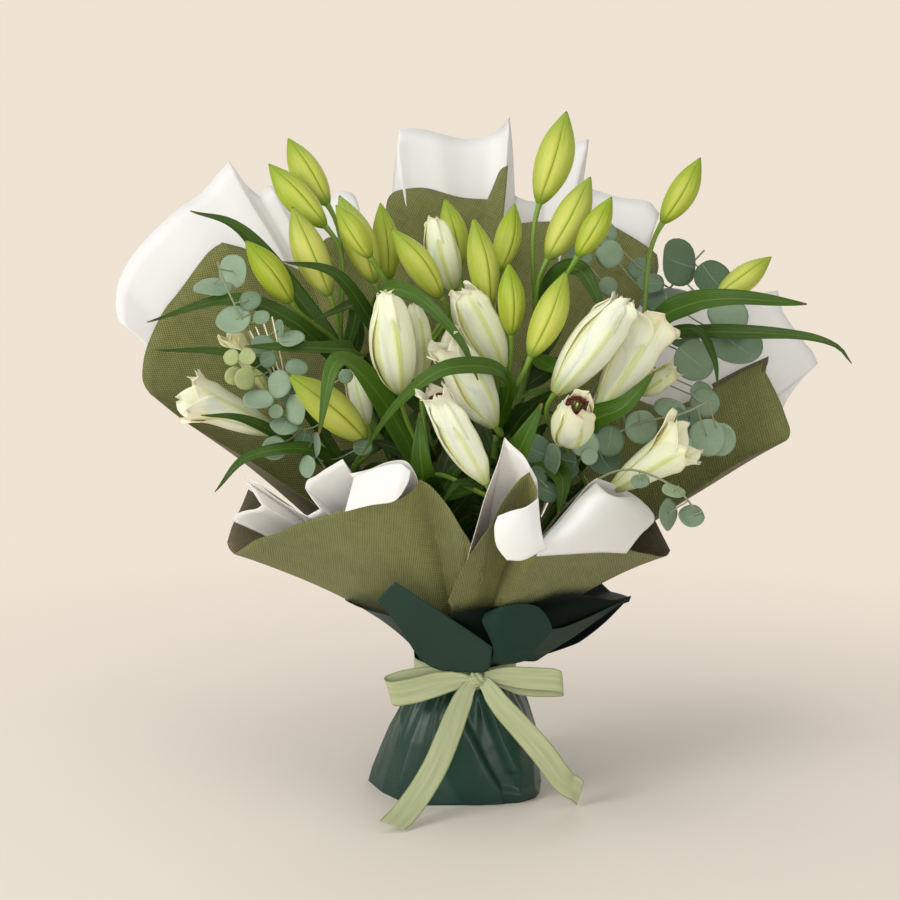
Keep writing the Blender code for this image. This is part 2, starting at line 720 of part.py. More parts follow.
def build_ribbon(collection):
    low, high = NECK_HEIGHT - BAND_WIDTH / 2, NECK_HEIGHT + BAND_WIDTH / 2
    inner = NECK_RADIUS + GAP
    ring("ribbon_band", inner, RIBBON_THICKNESS, low, high, WRAP_COLUMNS, collection, "sage ribbon")
    build_knot(collection)
    for name, route in (("left", LOOP_LEFT), ("right", LOOP_RIGHT)):
        line = smooth_line(route, LOOP_STEPS)
        half = Vector((0, 0, RIBBON_WIDTH / 2))
        rows = [[p - half for p in line], [p + half for p in line]]
        shell(f"ribbon_loop_{name}", rows, RIBBON_THICKNESS, collection, "sage ribbon")
    for name, route in (("left", TAIL_LEFT), ("right", TAIL_RIGHT)):
        rows = strip_rows(smooth_line(route, TAIL_STEPS), RIBBON_WIDTH, TAIL_FACING)
        shell(f"ribbon_tail_{name}", rows, RIBBON_THICKNESS, collection, "sage ribbon")


def main():
    clear_scene()
    bouquet = new_collection("lily_bouquet")
    for name, head in HEADS.items():
        build_head(name, head, bouquet)
    for name, stem in STEMS.items():
        build_stem(name, stem, bouquet)
    for name, sprig in SPRIGS.items():
        build_sprig(name, sprig, bouquet)
    for name, sheet in SHEETS.items():
        build_sheet(name, sheet, bouquet)
    build_tie(bouquet)
    build_pouch(bouquet)
    build_base_wrap(bouquet)
    build_ribbon(bouquet)


main()
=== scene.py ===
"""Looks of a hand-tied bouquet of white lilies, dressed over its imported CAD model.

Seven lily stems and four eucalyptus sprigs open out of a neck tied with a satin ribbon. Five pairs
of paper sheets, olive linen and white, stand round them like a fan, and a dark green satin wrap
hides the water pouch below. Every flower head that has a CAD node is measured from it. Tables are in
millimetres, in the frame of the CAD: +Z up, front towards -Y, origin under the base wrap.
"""

import logging
import math
from collections.abc import Sequence
from dataclasses import dataclass
from enum import Enum
from functools import cache
from typing import Any

import bpy
import numpy as np
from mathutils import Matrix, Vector


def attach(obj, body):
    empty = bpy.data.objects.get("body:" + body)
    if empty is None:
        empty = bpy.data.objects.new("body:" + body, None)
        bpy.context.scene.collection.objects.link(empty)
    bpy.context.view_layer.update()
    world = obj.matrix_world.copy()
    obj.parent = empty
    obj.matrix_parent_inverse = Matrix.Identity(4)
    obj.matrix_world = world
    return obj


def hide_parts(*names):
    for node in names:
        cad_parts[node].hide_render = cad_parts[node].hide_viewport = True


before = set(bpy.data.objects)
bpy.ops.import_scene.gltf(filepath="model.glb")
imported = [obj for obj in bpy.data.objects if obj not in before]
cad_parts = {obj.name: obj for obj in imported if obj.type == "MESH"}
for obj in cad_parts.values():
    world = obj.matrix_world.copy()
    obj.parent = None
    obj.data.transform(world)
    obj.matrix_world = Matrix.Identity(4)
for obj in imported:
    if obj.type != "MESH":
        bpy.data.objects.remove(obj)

Array = np.ndarray
Point = tuple[float, float, float]
Pair = tuple[float, float]
Socket = bpy.types.NodeSocket

log = logging.getLogger("lily_bouquet")

MM = 0.001
BODY = "root"
FRONT = np.array((0.0, -1.0, 0.0))
UP = np.array((0.0, 0.0, 1.0))
FLAT = np.array((1.0, 1.0, 0.0))  # a vector times this keeps only its level part
TINY = 1e-12

# The neck and what stands in it, as the CAD has them
NECK = (10.0, 0.0)
NECK_HEIGHT = 122.0
NECK_RADIUS = 49.5
BAND_WIDTH = 20.0
POUCH_X = 5.0
STEM_FOOT = 12.0
STEM_SPLAY = 1.35  # how far the cut ends spread below the tie
STEM_TWIST = 35.0  # degrees of spiral below the tie
STEM_RADIUS = 4.5
FORK_RADIUS = 0.75 * STEM_RADIUS
FORK_BEND = (4, -4, -8)  # how far a fork's middle is bent out of its straight line
BUNDLE_RADIUS = 12.5
TWIG_BUNDLE_RADIUS = 19.5
TWIG_RADIUS = 2.0
STALK_RADIUS = 0.75
STICK_RADIUS = 0.7
PEDICEL_RADIUS = 2.2
PEDICEL_STRAIGHT = 5.0  # the length below the head that runs along the head's axis
SHEET_FOOT = 106.0
SHEET_BEND = 134.0
SHEET_NECK_RADIUS = 26.0
SHEET_NECK_STEP = 1.9  # from each sheet to the next one out

# Where leaves begin to show above the tie, and the cone that keeps them clear of the papers: its
# radius at the sheets' bend and how fast it widens, behind the neck and before it
LEAVES_FROM = 215.0
TWIG_LEAVES_FROM = 240.0
PAPER_CONE_BEHIND = (22.0, 0.26)
PAPER_CONE_BEFORE = (26.0, 0.50)

# Walls of thin pieces
SHEET_THICKNESS = 0.45
WRAP_THICKNESS = 0.5
RIBBON_THICKNESS = 0.35
PETAL_THICKNESS = 0.6
LEAF_THICKNESS = 0.4
DISC_THICKNESS = 0.45


class Slot(Enum):
    """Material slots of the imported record."""

    BUD = "lily_bud_green"
    PETAL = "lily_petal_white"
    STEM = "lily_stem_and_leaf"
    EUCALYPTUS = "eucalyptus_leaf"
    OLIVE = "olive_linen_paper"
    WHITE = "white_liner_paper"
    WRAP = "dark_green_satin_wrap"
    RIBBON = "sage_satin_ribbon"


class Held(Enum):
    """How a sheet is held, in the frame's own words."""

    GATHERED = "gathered"
    FOLDED = "folded"
    STRETCHED = "stretched"


# ---------------------------------------------------------------- geometry helpers


def unit(vectors: Array) -> Array:
    """The same directions with length one, along the last axis."""
    return vectors / np.maximum(np.linalg.norm(vectors, axis=-1, keepdims=True), TINY)


def smoothstep(values: Array, low: float, high: float) -> Array:
    """A soft step from 0 at low to 1 at high."""
    t = np.clip((values - low) / (high - low), 0, 1)
    return t * t * (3 - 2 * t)


def around(count: int) -> Array:
    """Angles spread evenly over one turn, from 0."""
    return np.linspace(0, math.tau, count, endpoint=False)


def step_lengths(line: Array) -> Array:
    """Distances from each point, or row of points, to the next."""
    return np.linalg.norm(np.diff(line, axis=0), axis=-1)


def so_far(steps: Array) -> Array:
    """Running total of the steps, from 0."""
    return np.concatenate([[0], np.cumsum(steps)])


def uv_grid(u: Array, v: Array) -> Array:
    """The map of a grid with its columns at u and its rows at v."""
    return np.dstack(np.meshgrid(u, v))


def smooth_path(points: Sequence[Sequence[float]], count: int) -> Array:
    """Points on a Catmull-Rom curve, evenly spaced in chord length.

    Args:
        points: The points that the curve goes through, of any dimension.
        count: How many points to return.

    Returns:
        An array of count rows.
    """
    p = np.asarray(points, float)
    ends = np.vstack([2 * p[0] - p[1], p, 2 * p[-1] - p[-2]])
    chord = so_far(step_lengths(p))
    along = np.linspace(0, chord[-1], count)
    i = np.clip(np.searchsorted(chord, along, side="right") - 1, 0, len(p) - 2)
    t = ((along - chord[i]) / (chord[i + 1] - chord[i]))[:, None]
    a, b, c, d = ends[i], ends[i + 1], ends[i + 2], ends[i + 3]
    return 0.5 * (
        2 * b + (c - a) * t + (2 * a - 5 * b + 4 * c - d) * t**2 + (3 * b - a - 3 * c + d) * t**3
    )


def cornered_path(runs: Sequence[Sequence[Point]], count: int) -> Array:
    """One line through several smooth runs that meet in sharp corners.

    Args:
        runs: The runs. Each one goes on from the last point of the run before it.
        count: How many points to return in all.

    Returns:
        An array of count points, with each corner among them.
    """
    starts = [(), *(run[-1:] for run in runs)]
    lines = [np.array((*start, *run), float) for start, run in zip(starts, runs)]
    lengths = [step_lengths(line).sum() for line in lines]
    shares = np.round(so_far(lengths) / sum(lengths) * (count - 1)).astype(int)
    parts = [smooth_path(line, b - a + 1) for line, a, b in zip(lines, shares, shares[1:])]
    return np.vstack([parts[0], *[part[1:] for part in parts[1:]]])


def bezier(a: Array, b: Array, c: Array, d: Array, count: int) -> Array:
    """Points on the Bezier curve from a to d that leaves towards b and arrives from c."""
    t = np.linspace(0, 1, count)[:, None]
    s = 1 - t
    return s**3 * a + 3 * s**2 * t * b + 3 * s * t**2 * c + t**3 * d


def area_of(grid: Array) -> float:
    """Area of a grid of quads, in the square of its own unit."""
    first = np.diff(grid, axis=0)[:, :-1]
    second = np.diff(grid, axis=1)[:-1]
    square = (first**2).sum(-1) * (second**2).sum(-1) - (first * second).sum(-1) ** 2
    return float(np.sqrt(np.maximum(square, 0)).sum())


class Wobble:
    """Smooth unevenness in space, the same on every run."""

    WAVES = 7
    LENGTHS = (1.2, 3.2)  # shortest and longest wave, as shares of the size of a bump
    GAIN = 1.8  # brings the mean of the waves to about -1 to 1

    def __init__(self, seed: int, size: float) -> None:
        """Draws the waves.

        Args:
            seed: Number of the field.
            size: About how large its bumps are.
        """
        rng = np.random.default_rng(seed)
        self.directions = unit(rng.normal(size=(self.WAVES, 3))) * (
            math.tau / (size * rng.uniform(*self.LENGTHS, (self.WAVES, 1)))
        )
        self.phases = rng.uniform(0, math.tau, self.WAVES)

    def at(self, points: Array) -> Array:
        """Height of the field, about -1 to 1, at each point."""
        return np.sin(points @ self.directions.T + self.phases).mean(axis=-1) * self.GAIN


def add_object(name: str, data: Any) -> bpy.types.Object:
    """A new object in the scene."""
    obj = bpy.data.objects.new(name, data)
    bpy.context.scene.collection.objects.link(obj)
    return obj


class Patchwork:
    """Gathers grids of points in millimetres into one mesh with UVs and a tone per point."""

    UPRIGHT = 0.9  # a tube that climbs more steeply than this starts its rings from the front

    def __init__(self) -> None:
        """Starts empty."""
        self.points: list[Array] = []
        self.faces: list[Array] = []
        self.uvs: list[Array] = []
        self.tones: list[Array] = []
        self.slots: list[Array] = []
        self.count = 0

    @staticmethod
    def quads(grid: Array) -> Array:
        """The four corners of each quad of a grid, along a new third axis."""
        return np.stack([grid[:-1, :-1], grid[:-1, 1:], grid[1:, 1:], grid[1:, :-1]], axis=2)

    def grid(self, points: Array, uv: Array, tone: float | Array = 0.0, slot: int | Array = 0) -> None:
        """Adds one grid of quads.

        Args:
            points: Rows by columns by 3, in millimetres.
            uv: Rows by columns by 2. With one more column than the points it joins the last column
                of points to the first.
            tone: A shade value for every point or one for each.
            slot: Material number of every face or one for each.
        """
        rows, columns = points.shape[:2]
        index = np.arange(rows * columns).reshape(rows, columns) + self.count
        if uv.shape[1] > columns:
            index = np.hstack([index, index[:, :1]])
        self.faces.append(self.quads(index).reshape(-1, 4))
        self.uvs.append(self.quads(uv).reshape(-1, 2))
        self.points.append(points.reshape(-1, 3))
        self.tones.append(np.broadcast_to(tone, (rows, columns)).reshape(-1))
        self.slots.append(np.broadcast_to(slot, (rows - 1, index.shape[1] - 1)).reshape(-1))
        self.count += rows * columns

    def tube(
        self, line: Array, radii: float | Array, sides: int, tone: float | Array = 0.0, slot: int = 0
    ) -> None:
        """Adds a round tube, closed to a point at both ends.

        Args:
            line: Its middle line, in millimetres.
            radii: One radius or one for each point.
            sides: Sides of its section.
            tone: A shade value for every point, or one for each ring and end.
            slot: Material number.
        """
        radii = np.concatenate([[0], np.broadcast_to(radii, len(line)), [0]])
        line = np.vstack([line[:1], line, line[-1:]])
        tangents = unit(np.gradient(line, axis=0))
        side = unit(np.cross(tangents[1], UP if abs(tangents[1][2]) < self.UPRIGHT else FRONT))
        turn = around(sides)[:, None]
        rings = []
        for point, tangent, radius in zip(line, tangents, radii):
            side = unit(side - tangent * (side @ tangent))
            rings.append(point + radius * (np.cos(turn) * side + np.sin(turn) * np.cross(tangent, side)))
        uv = uv_grid(np.linspace(0, 1, sides + 1), so_far(step_lengths(line)) * MM)
        self.grid(np.array(rings), uv, tone, slot)

    def to_object(
        self, name: str, finishes: Sequence["Finish"], thickness: float = 0.0, offset: float = 0.0
    ) -> bpy.types.Object:
        """Makes the object, in metres.

        Args:
            name: Name of the object.
            finishes: Finishes, in the order of the material numbers.
            thickness: Wall in millimetres, or 0 for none. The inner side then takes the next finish
                where there are two or more.
            offset: -1 to put the wall inside, 1 outside, 0 on both sides.

        Returns:
            The linked object.
        """
        mesh = bpy.data.meshes.new(name)
        mesh.from_pydata(np.vstack(self.points) * MM, [], np.vstack(self.faces))
        mesh.uv_layers.new(name="UVMap").data.foreach_set("uv", np.vstack(self.uvs).ravel())
        tone = mesh.attributes.new("tone", "FLOAT", "POINT")
        tone.data.foreach_set("value", np.concatenate(self.tones).astype(np.float32))
        mesh.polygons.foreach_set("material_index", np.concatenate(self.slots).astype(np.int32))
        mesh.shade_smooth()
        for finish in finishes:
            mesh.materials.append(finish.material())
        obj = add_object(name, mesh)
        if thickness:
            wall = obj.modifiers.new("wall", "SOLIDIFY")
            wall.thickness = thickness * MM
            wall.offset = offset
            wall.material_offset = 1 if len(finishes) > 1 else 0
        return obj


def place(obj: bpy.types.Object, slot: Slot, *nodes: str) -> None:
    """Ties a finished piece to the frame and reports it.

    Args:
        obj: The piece.
        slot: The record's material slot that it stands for; it is only logged.
        *nodes: CAD nodes that it stands for.
    """
    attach(obj, BODY)
    if nodes:
        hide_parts(*nodes)
    log.info("%s: %d points, %s", obj.name, len(obj.data.vertices), slot.value)


def declare_sheet(
    obj: bpy.types.Object, grid: Array, flat: Pair, area: float = 0.0
) -> None:
    """Logs a sheet's cut size and its area as it now lies.

    Args:
        obj: The sheet.
        grid: Its points in millimetres, rows by columns by 3.
        flat: Width and length of the cut, in metres.
        area: Flat area in square metres, where the cut is no rectangle.
    """
    cut = area or flat[0] * flat[1]
    log.info("%s: %.3f by %.3f m, cut %.4f, now %.4f m2", obj.name, *flat, cut, area_of(grid) * MM**2)


# ---------------------------------------------------------------- shader helpers and shared effects


def srgb(code: str) -> tuple[float, ...]:
    """A colour code such as 'A3B820' as linear red, green, blue and alpha."""
    parts = [int(code[i : i + 2], 16) / 255 for i in (0, 2, 4)]
    linear = [c / 12.92 if c <= 0.04045 else ((c + 0.055) / 1.055) ** 2.4 for c in parts]
    return (*linear, 1.0)


class Graph:
    """Short calls for wiring one node tree. A value may be a number, a colour code or a socket."""

    def __init__(self, tree: bpy.types.NodeTree) -> None:
        """Starts on a tree."""
        self.tree = tree

    def feed(self, socket: Socket, value: Any) -> None:
        """Links a socket to value, or sets it to value."""
        if isinstance(value, bpy.types.NodeSocket):
            self.tree.links.new(value, socket)
        else:
            socket.default_value = srgb(value) if isinstance(value, str) else value

    def node(self, kind: str, inputs: dict[Any, Any] | None = None, **settings: Any) -> bpy.types.Node:
        """Adds a node.

        Args:
            kind: Its type without the leading ShaderNode.
            inputs: Values for its inputs, by name or number.
            **settings: Its properties.

        Returns:
            The node.
        """
        node = self.tree.nodes.new("ShaderNode" + kind)
        for name, value in settings.items():
            setattr(node, name, value)
        for name, value in (inputs or {}).items():
            self.feed(node.inputs[name], value)
        return node

    def math(self, operation: str, a: Any, b: Any = 0.0, c: Any = 0.0) -> Socket:
        """One arithmetic step."""
        return self.node("Math", {0: a, 1: b, 2: c}, operation=operation).outputs[0]

    def times(self, *values: Any) -> Socket:
        """The product of the values."""
        product = values[0]
        for value in values[1:]:
            product = self.math("MULTIPLY", product, value)
        return product

    def line(self, value: Any, slope: Any, start: Any) -> Socket:
        """start plus slope times value."""
        return self.math("MULTIPLY_ADD", value, slope, start)

    def off_middle(self, value: Any) -> Socket:
        """Distance of a value from 0.5."""
        return self.math("ABSOLUTE", self.math("SUBTRACT", value, 0.5))

    def clamp(self, value: Any) -> Socket:
        """The value, kept from 0 to 1."""
        return self.node("Clamp", {0: value}).outputs[0]

    def step(self, value: Any, low: float, high: float) -> Socket:
        """A soft step from 0 at low to 1 at high. low may be above high."""
        inputs = {"Value": value, "From Min": low, "From Max": high}
        return self.node("MapRange", inputs, interpolation_type="SMOOTHSTEP").outputs[0]

    def blend(self, share: Any, a: Any, b: Any) -> Socket:
        """Colour a turning into colour b."""
        return self.node("Mix", {0: share, 6: a, 7: b}, data_type="RGBA").outputs[2]

    def coats(self, base: Socket, *coats: tuple[Any, str]) -> Socket:
        """A base colour under coats, each a share from 0 to 1 and a colour code."""
        for share, code in coats:
            base = self.blend(share, base, code)
        return base

    def uv(self) -> tuple[Socket, Socket, Socket]:
        """The UV map as a vector and its two parts."""
        vector = self.node("UVMap", uv_map="UVMap").outputs[0]
        parts = self.node("SeparateXYZ", {0: vector})
        return vector, parts.outputs[0], parts.outputs[1]

    def place(self) -> Socket:
        """Object coordinates."""
        return self.node("TexCoord").outputs["Object"]

    def tone(self) -> Socket:
        """The piece's own shade value."""
        return self.node("Attribute", attribute_name="tone").outputs["Fac"]

    def noise(self, vector: Any, scale: Any, detail: float) -> Socket:
        """Soft noise from 0 to 1."""
        return self.node("TexNoise", {"Vector": vector, "Scale": scale, "Detail": detail}).outputs[0]

    def streaks(self, u: Any, v: Any, across: float, along: float, detail: float = 3.0) -> Socket:
        """Noise over a map, with its own scale across and along it."""
        parts = {0: self.times(u, across), 1: self.times(v, along)}
        return self.noise(self.node("CombineXYZ", parts).outputs[0], 1.0, detail)

    def drifted(self, vector: Any, scale: float, reach: Point) -> Socket:
        """A vector moved about by soft noise, along each axis by up to reach."""
        drift = self.node("TexNoise", {"Vector": vector, "Scale": scale, "Detail": 2.0}).outputs[1]
        return self.node("VectorMath", {0: drift, 1: reach, 2: vector}, operation="MULTIPLY_ADD").outputs[0]

    def bump(self, height: Any, distance: float, strength: float) -> Socket:
        """A normal raised by height times distance in metres."""
        inputs = {"Height": height, "Distance": distance, "Strength": strength}
        return self.node("Bump", inputs).outputs[0]

    def group(self, tree: bpy.types.NodeTree, **inputs: Any) -> Any:
        """Adds a shared effect and returns its outputs."""
        return self.node("Group", inputs, node_tree=tree).outputs


class Effect:
    """A shader node group that several finishes share."""

    def __init__(self, name: str, **inputs: Any) -> None:
        """Makes the group and its inputs.

        Args:
            name: Name of the group.
            **inputs: Default of each input, a triple or a number.
        """
        self.tree = bpy.data.node_groups.new(name, "ShaderNodeTree")
        for label, default in inputs.items():
            kind = "NodeSocketVector" if isinstance(default, tuple) else "NodeSocketFloat"
            socket = self.tree.interface.new_socket(name=label, in_out="INPUT", socket_type=kind)
            socket.default_value = default
        self.graph = Graph(self.tree)
        self.entry = self.tree.nodes.new("NodeGroupInput").outputs

    def closed(self, **results: Socket) -> bpy.types.NodeTree:
        """Ends the group.

        Args:
            **results: Socket that feeds each output.

        Returns:
            The group.
        """
        for label in results:
            self.tree.interface.new_socket(name=label, in_out="OUTPUT", socket_type="NodeSocketFloat")
        leaving = self.tree.nodes.new("NodeGroupOutput").inputs
        for label, value in results.items():
            self.graph.feed(leaving[label], value)
        return self.tree


@cache
def mottle() -> bpy.types.NodeTree:
    """Broad and fine patches.

    Returns:
        The group, with inputs Vector, Scale and Contrast and the output Value from 0 to 1.
    """
    effect = Effect("mottle", Vector=(0, 0, 0), Scale=10.0, Contrast=1.0)
    graph, entry = effect.graph, effect.entry
    broad = graph.noise(entry["Vector"], entry["Scale"], 4.0)
    fine = graph.noise(entry["Vector"], graph.times(entry["Scale"], 5.3), 2.0)
    mixed = graph.line(fine, 0.35, graph.times(broad, 0.65))
    centred = graph.times(graph.math("SUBTRACT", mixed, 0.5), entry["Contrast"])
    return effect.closed(Value=graph.clamp(graph.line(centred, 2.6, 0.5)))


@cache
def linen() -> bpy.types.NodeTree:
    """A plain weave of uneven threads.

    Returns:
        The group, with inputs UV in metres and Threads per metre. Its outputs are the threads' Height
        and Slub, the unevenness from thread to thread.
    """
    effect = Effect("linen", UV=(0, 0, 0), Threads=700.0)
    graph, entry = effect.graph, effect.entry
    parts = graph.node("SeparateXYZ", {0: graph.drifted(entry["UV"], 60.0, (0.0022, 0.0022, 0))}).outputs
    waves, slubs = [], []
    for along, across in ((0, 1), (1, 0)):
        count = graph.times(parts[along], entry["Threads"])
        waves.append(graph.line(graph.math("SINE", graph.times(count, math.tau)), 0.5, 0.5))
        slubs.append(graph.streaks(count, parts[across], 0.5, 45.0, 2.0))
    weave = graph.times(graph.math("ADD", *waves), 0.5)
    slub = graph.times(graph.math("ADD", *slubs), 0.5)
    return effect.closed(Height=graph.line(slub, 0.8, weave), Slub=slub)


@cache
def veins() -> bpy.types.NodeTree:
    """Fine parallel veins.

    Returns:
        The group, with inputs Across and Along from 0 to 1, and Count. Its outputs are Line, 1 on a
        vein, and Streak, soft long patches.
    """
    effect = Effect("veins", Across=0.0, Along=0.0, Count=12.0)
    graph, entry = effect.graph, effect.entry
    wander = graph.streaks(entry["Across"], entry["Along"], 2.0, 3.0, 2.0)
    wandering = graph.line(wander, 0.05, entry["Across"])
    wave = graph.math("COSINE", graph.times(wandering, entry["Count"], math.tau))
    streak = graph.streaks(entry["Across"], entry["Along"], 26.0, 2.2)
    return effect.closed(Line=graph.step(wave, 0.45, 1.0), Streak=graph.step(streak, 0.3, 0.7))


@cache
def crumple() -> bpy.types.NodeTree:
    """Soft dents and sharp little creases of handled paper.

    Returns:
        The group, with inputs Vector and Scale and the output Height.
    """
    effect = Effect("crumple", Vector=(0, 0, 0), Scale=14.0)
    graph, entry = effect.graph, effect.entry
    bent = graph.drifted(entry["Vector"], 9.0, (0.08, 0.08, 0.08))
    cells = graph.node("TexVoronoi", {"Vector": bent, "Scale": entry["Scale"]}, feature="DISTANCE_TO_EDGE")
    crease = graph.step(cells.outputs[0], 0.0, 0.12)
    soft = graph.noise(entry["Vector"], entry["Scale"], 1.0)
    return effect.closed(Height=graph.line(soft, 1.4, graph.times(crease, 0.16)))


# ---------------------------------------------------------------- finishes


@dataclass(frozen=True)
class Surface:
    """What a finish paints: its colour and roughness, and the height of its relief from 0 to about 1."""

    colour: Socket
    roughness: Socket
    height: Socket
    depth: float  # of the relief, in metres
    strength: float


@dataclass(frozen=True)
class Finish:
    """A material: constants on the shader's own sockets, and a painted surface."""

    name: str
    coat: float = 0.0
    sheen: float = 0.0
    glow: float = 0.0
    specular: float = 0.32
    clear: float = 0.0
    ior: float = 1.5

    @cache
    def material(self) -> bpy.types.Material:
        """Makes the material once.

        Returns:
            The material.
        """
        made = bpy.data.materials.new(self.name)
        made.use_nodes = True
        graph = Graph(made.node_tree)
        surface = self.paint(graph)
        settings = {
            "Coat Weight": self.coat, "Coat Roughness": 0.25, "Sheen Weight": self.sheen,
            "Sheen Roughness": 0.4, "Subsurface Weight": self.glow, "Subsurface Scale": 0.004,
            "Specular IOR Level": self.specular, "Transmission Weight": self.clear, "IOR": self.ior,
            "Base Color": surface.colour, "Roughness": surface.roughness,
            "Normal": graph.bump(surface.height, surface.depth, surface.strength),
        }
        for socket, value in settings.items():
            graph.feed(made.node_tree.nodes["Principled BSDF"].inputs[socket], value)
        return made

    def paint(self, graph: Graph) -> Surface:
        """Paints the surface.

        Args:
            graph: Graph of the material.

        Returns:
            What goes to the shader.
        """
        raise NotImplementedError


@dataclass(frozen=True)
class BudSkin(Finish):
    """Closed tepals: lime green with a dark seam, a pale glow beside it and a brown point.

    The tone goes from 0, young and green, to 1, ripe and creamy.
    """

    lime: str = "90A80A"
    ripe: str = "E4DD8A"
    pale: str = "D9DC66"
    tip: str = "7B9A12"
    rib: str = "AEBC14"
    seam: str = "5F6F16"
    foot: str = "6E8F2C"
    point: str = "4A3A22"

    def paint(self, graph: Graph) -> Surface:
        """Paints the bud over its map: u round it from a seam, v from foot to tip."""
        _, u, v = graph.uv()
        tone = graph.tone()
        edge = graph.math("SUBTRACT", 0.5, graph.off_middle(graph.math("FRACT", graph.times(u, 3.0))))
        veining = graph.group(veins(), Across=u, Along=v, Count=66.0)
        beside_seam = graph.times(graph.step(edge, 0.01, 0.07), graph.step(edge, 0.36, 0.12))
        lower_half = graph.times(graph.step(v, 0.03, 0.22), graph.step(v, 0.85, 0.35))
        speck = graph.step(graph.noise(graph.place(), 700.0, 1.0), 0.70, 0.76)
        colour = graph.coats(
            graph.blend(tone, self.lime, self.ripe),
            (graph.times(veining["Streak"], 0.30), self.pale),
            (graph.times(beside_seam, lower_half, graph.line(tone, 0.45, 0.50)), self.pale),
            (graph.times(graph.step(edge, 0.36, 0.47), graph.line(tone, 0.5, 0.28)), self.rib),
            (graph.times(graph.step(edge, 0.10, 0.03), graph.line(tone, 0.45, 0.25)), self.rib),
            (graph.times(graph.step(v, 0.55, 1.0), 0.75), self.tip),
            (graph.times(graph.step(v, 0.16, 0.0), 0.85), self.foot),
            (graph.times(graph.step(edge, 0.026, 0.006), graph.step(v, 0.0, 0.06), 0.72), self.seam),
            (graph.times(speck, 0.25), self.seam),
            (graph.times(graph.step(v, 0.97, 0.995), 0.8), self.point),
        )
        height = graph.line(veining["Line"], -0.35, graph.times(veining["Streak"], 0.8))
        return Surface(colour, graph.line(veining["Streak"], 0.12, 0.36), height, 0.0002, 0.5)


@dataclass(frozen=True)
class PetalSkin(Finish):
    """Open petals: cream with a yellow-green midrib and foot and thin dry tips.

    The tone goes from 0, white, to 1, yellow-green.
    """

    cream: str = "FBF5DF"
    young: str = "E8E29C"
    rib: str = "C8CC4E"
    foot: str = "B4C155"
    dry: str = "A98D5C"

    def paint(self, graph: Graph) -> Surface:
        """Paints the petal over its map: u across it, v from foot to tip."""
        _, u, v = graph.uv()
        tone = graph.tone()
        side = graph.times(graph.off_middle(u), 2.0)
        veining = graph.group(veins(), Across=u, Along=v, Count=17.0)
        midrib = graph.times(graph.step(side, 0.22, 0.03), graph.step(v, 1.0, 0.7))
        patch = graph.step(graph.noise(graph.place(), 160.0, 3.0), 0.45, 0.7)
        colour = graph.coats(
            graph.blend(graph.times(tone, 0.75), self.cream, self.young),
            (graph.times(veining["Streak"], 0.16), self.young),
            (graph.times(midrib, graph.line(tone, 0.5, 0.45)), self.rib),
            (graph.times(graph.step(side, 0.80, 1.0), graph.step(v, 0.95, 0.5), 0.35), self.rib),
            (graph.times(graph.step(v, 0.42, 0.0), 0.8), self.foot),
            (graph.times(graph.step(v, 0.94, 1.0), graph.line(patch, 0.45, 0.1)), self.dry),
        )
        height = graph.line(veining["Line"], -0.5, graph.times(veining["Streak"], 0.9))
        return Surface(colour, graph.line(veining["Streak"], 0.15, 0.42), height, 0.0003, 0.6)


@dataclass(frozen=True)
class LeafSkin(Finish):
    """A glossy lily leaf with parallel veins and a dry point. The tone goes from dark to light."""

    dark: str = "142E06"
    light: str = "4E7812"
    vein: str = "7A9A34"
    dry: str = "8A6A3A"

    def paint(self, graph: Graph) -> Surface:
        """Paints the leaf over its map: u across it, v from base to tip."""
        _, u, v = graph.uv()
        veining = graph.group(veins(), Across=u, Along=v, Count=9.0)
        patches = graph.group(mottle(), Vector=graph.place(), Scale=18.0, Contrast=0.8)[0]
        shade = graph.line(patches, 0.3, graph.line(graph.tone(), 0.9, -0.1))
        colour = graph.coats(
            graph.blend(graph.clamp(shade), self.dark, self.light),
            (graph.times(veining["Line"], 0.12), self.vein),
            (graph.times(veining["Streak"], 0.18), self.dark),
            (graph.times(graph.step(graph.off_middle(u), 0.06, 0.0), 0.35), self.vein),
            (graph.times(graph.step(v, 0.965, 0.995), 0.9), self.dry),
        )
        height = graph.line(veining["Line"], -0.8, graph.times(veining["Streak"], 0.5))
        return Surface(colour, graph.line(patches, 0.16, 0.30), height, 0.0004, 0.7)


@dataclass(frozen=True)
class StemSkin(Finish):
    """A smooth green stalk, streaked along its length. The tone goes from dark to light."""

    dark: str = "2E4A1C"
    light: str = "86A83C"
    scar: str = "6B5A30"

    def paint(self, graph: Graph) -> Surface:
        """Paints the stalk over its map: u round it, v along it in metres."""
        _, u, v = graph.uv()
        streak = graph.streaks(u, v, 9.0, 14.0)
        shade = graph.line(streak, 0.5, graph.line(graph.tone(), 0.9, -0.2))
        fleck = graph.step(graph.noise(graph.place(), 420.0, 2.0), 0.63, 0.72)
        base = graph.blend(graph.clamp(shade), self.dark, self.light)
        colour = graph.coats(base, (graph.times(fleck, 0.35), self.scar))
        return Surface(colour, graph.line(streak, 0.2, 0.32), streak, 0.0005, 0.4)


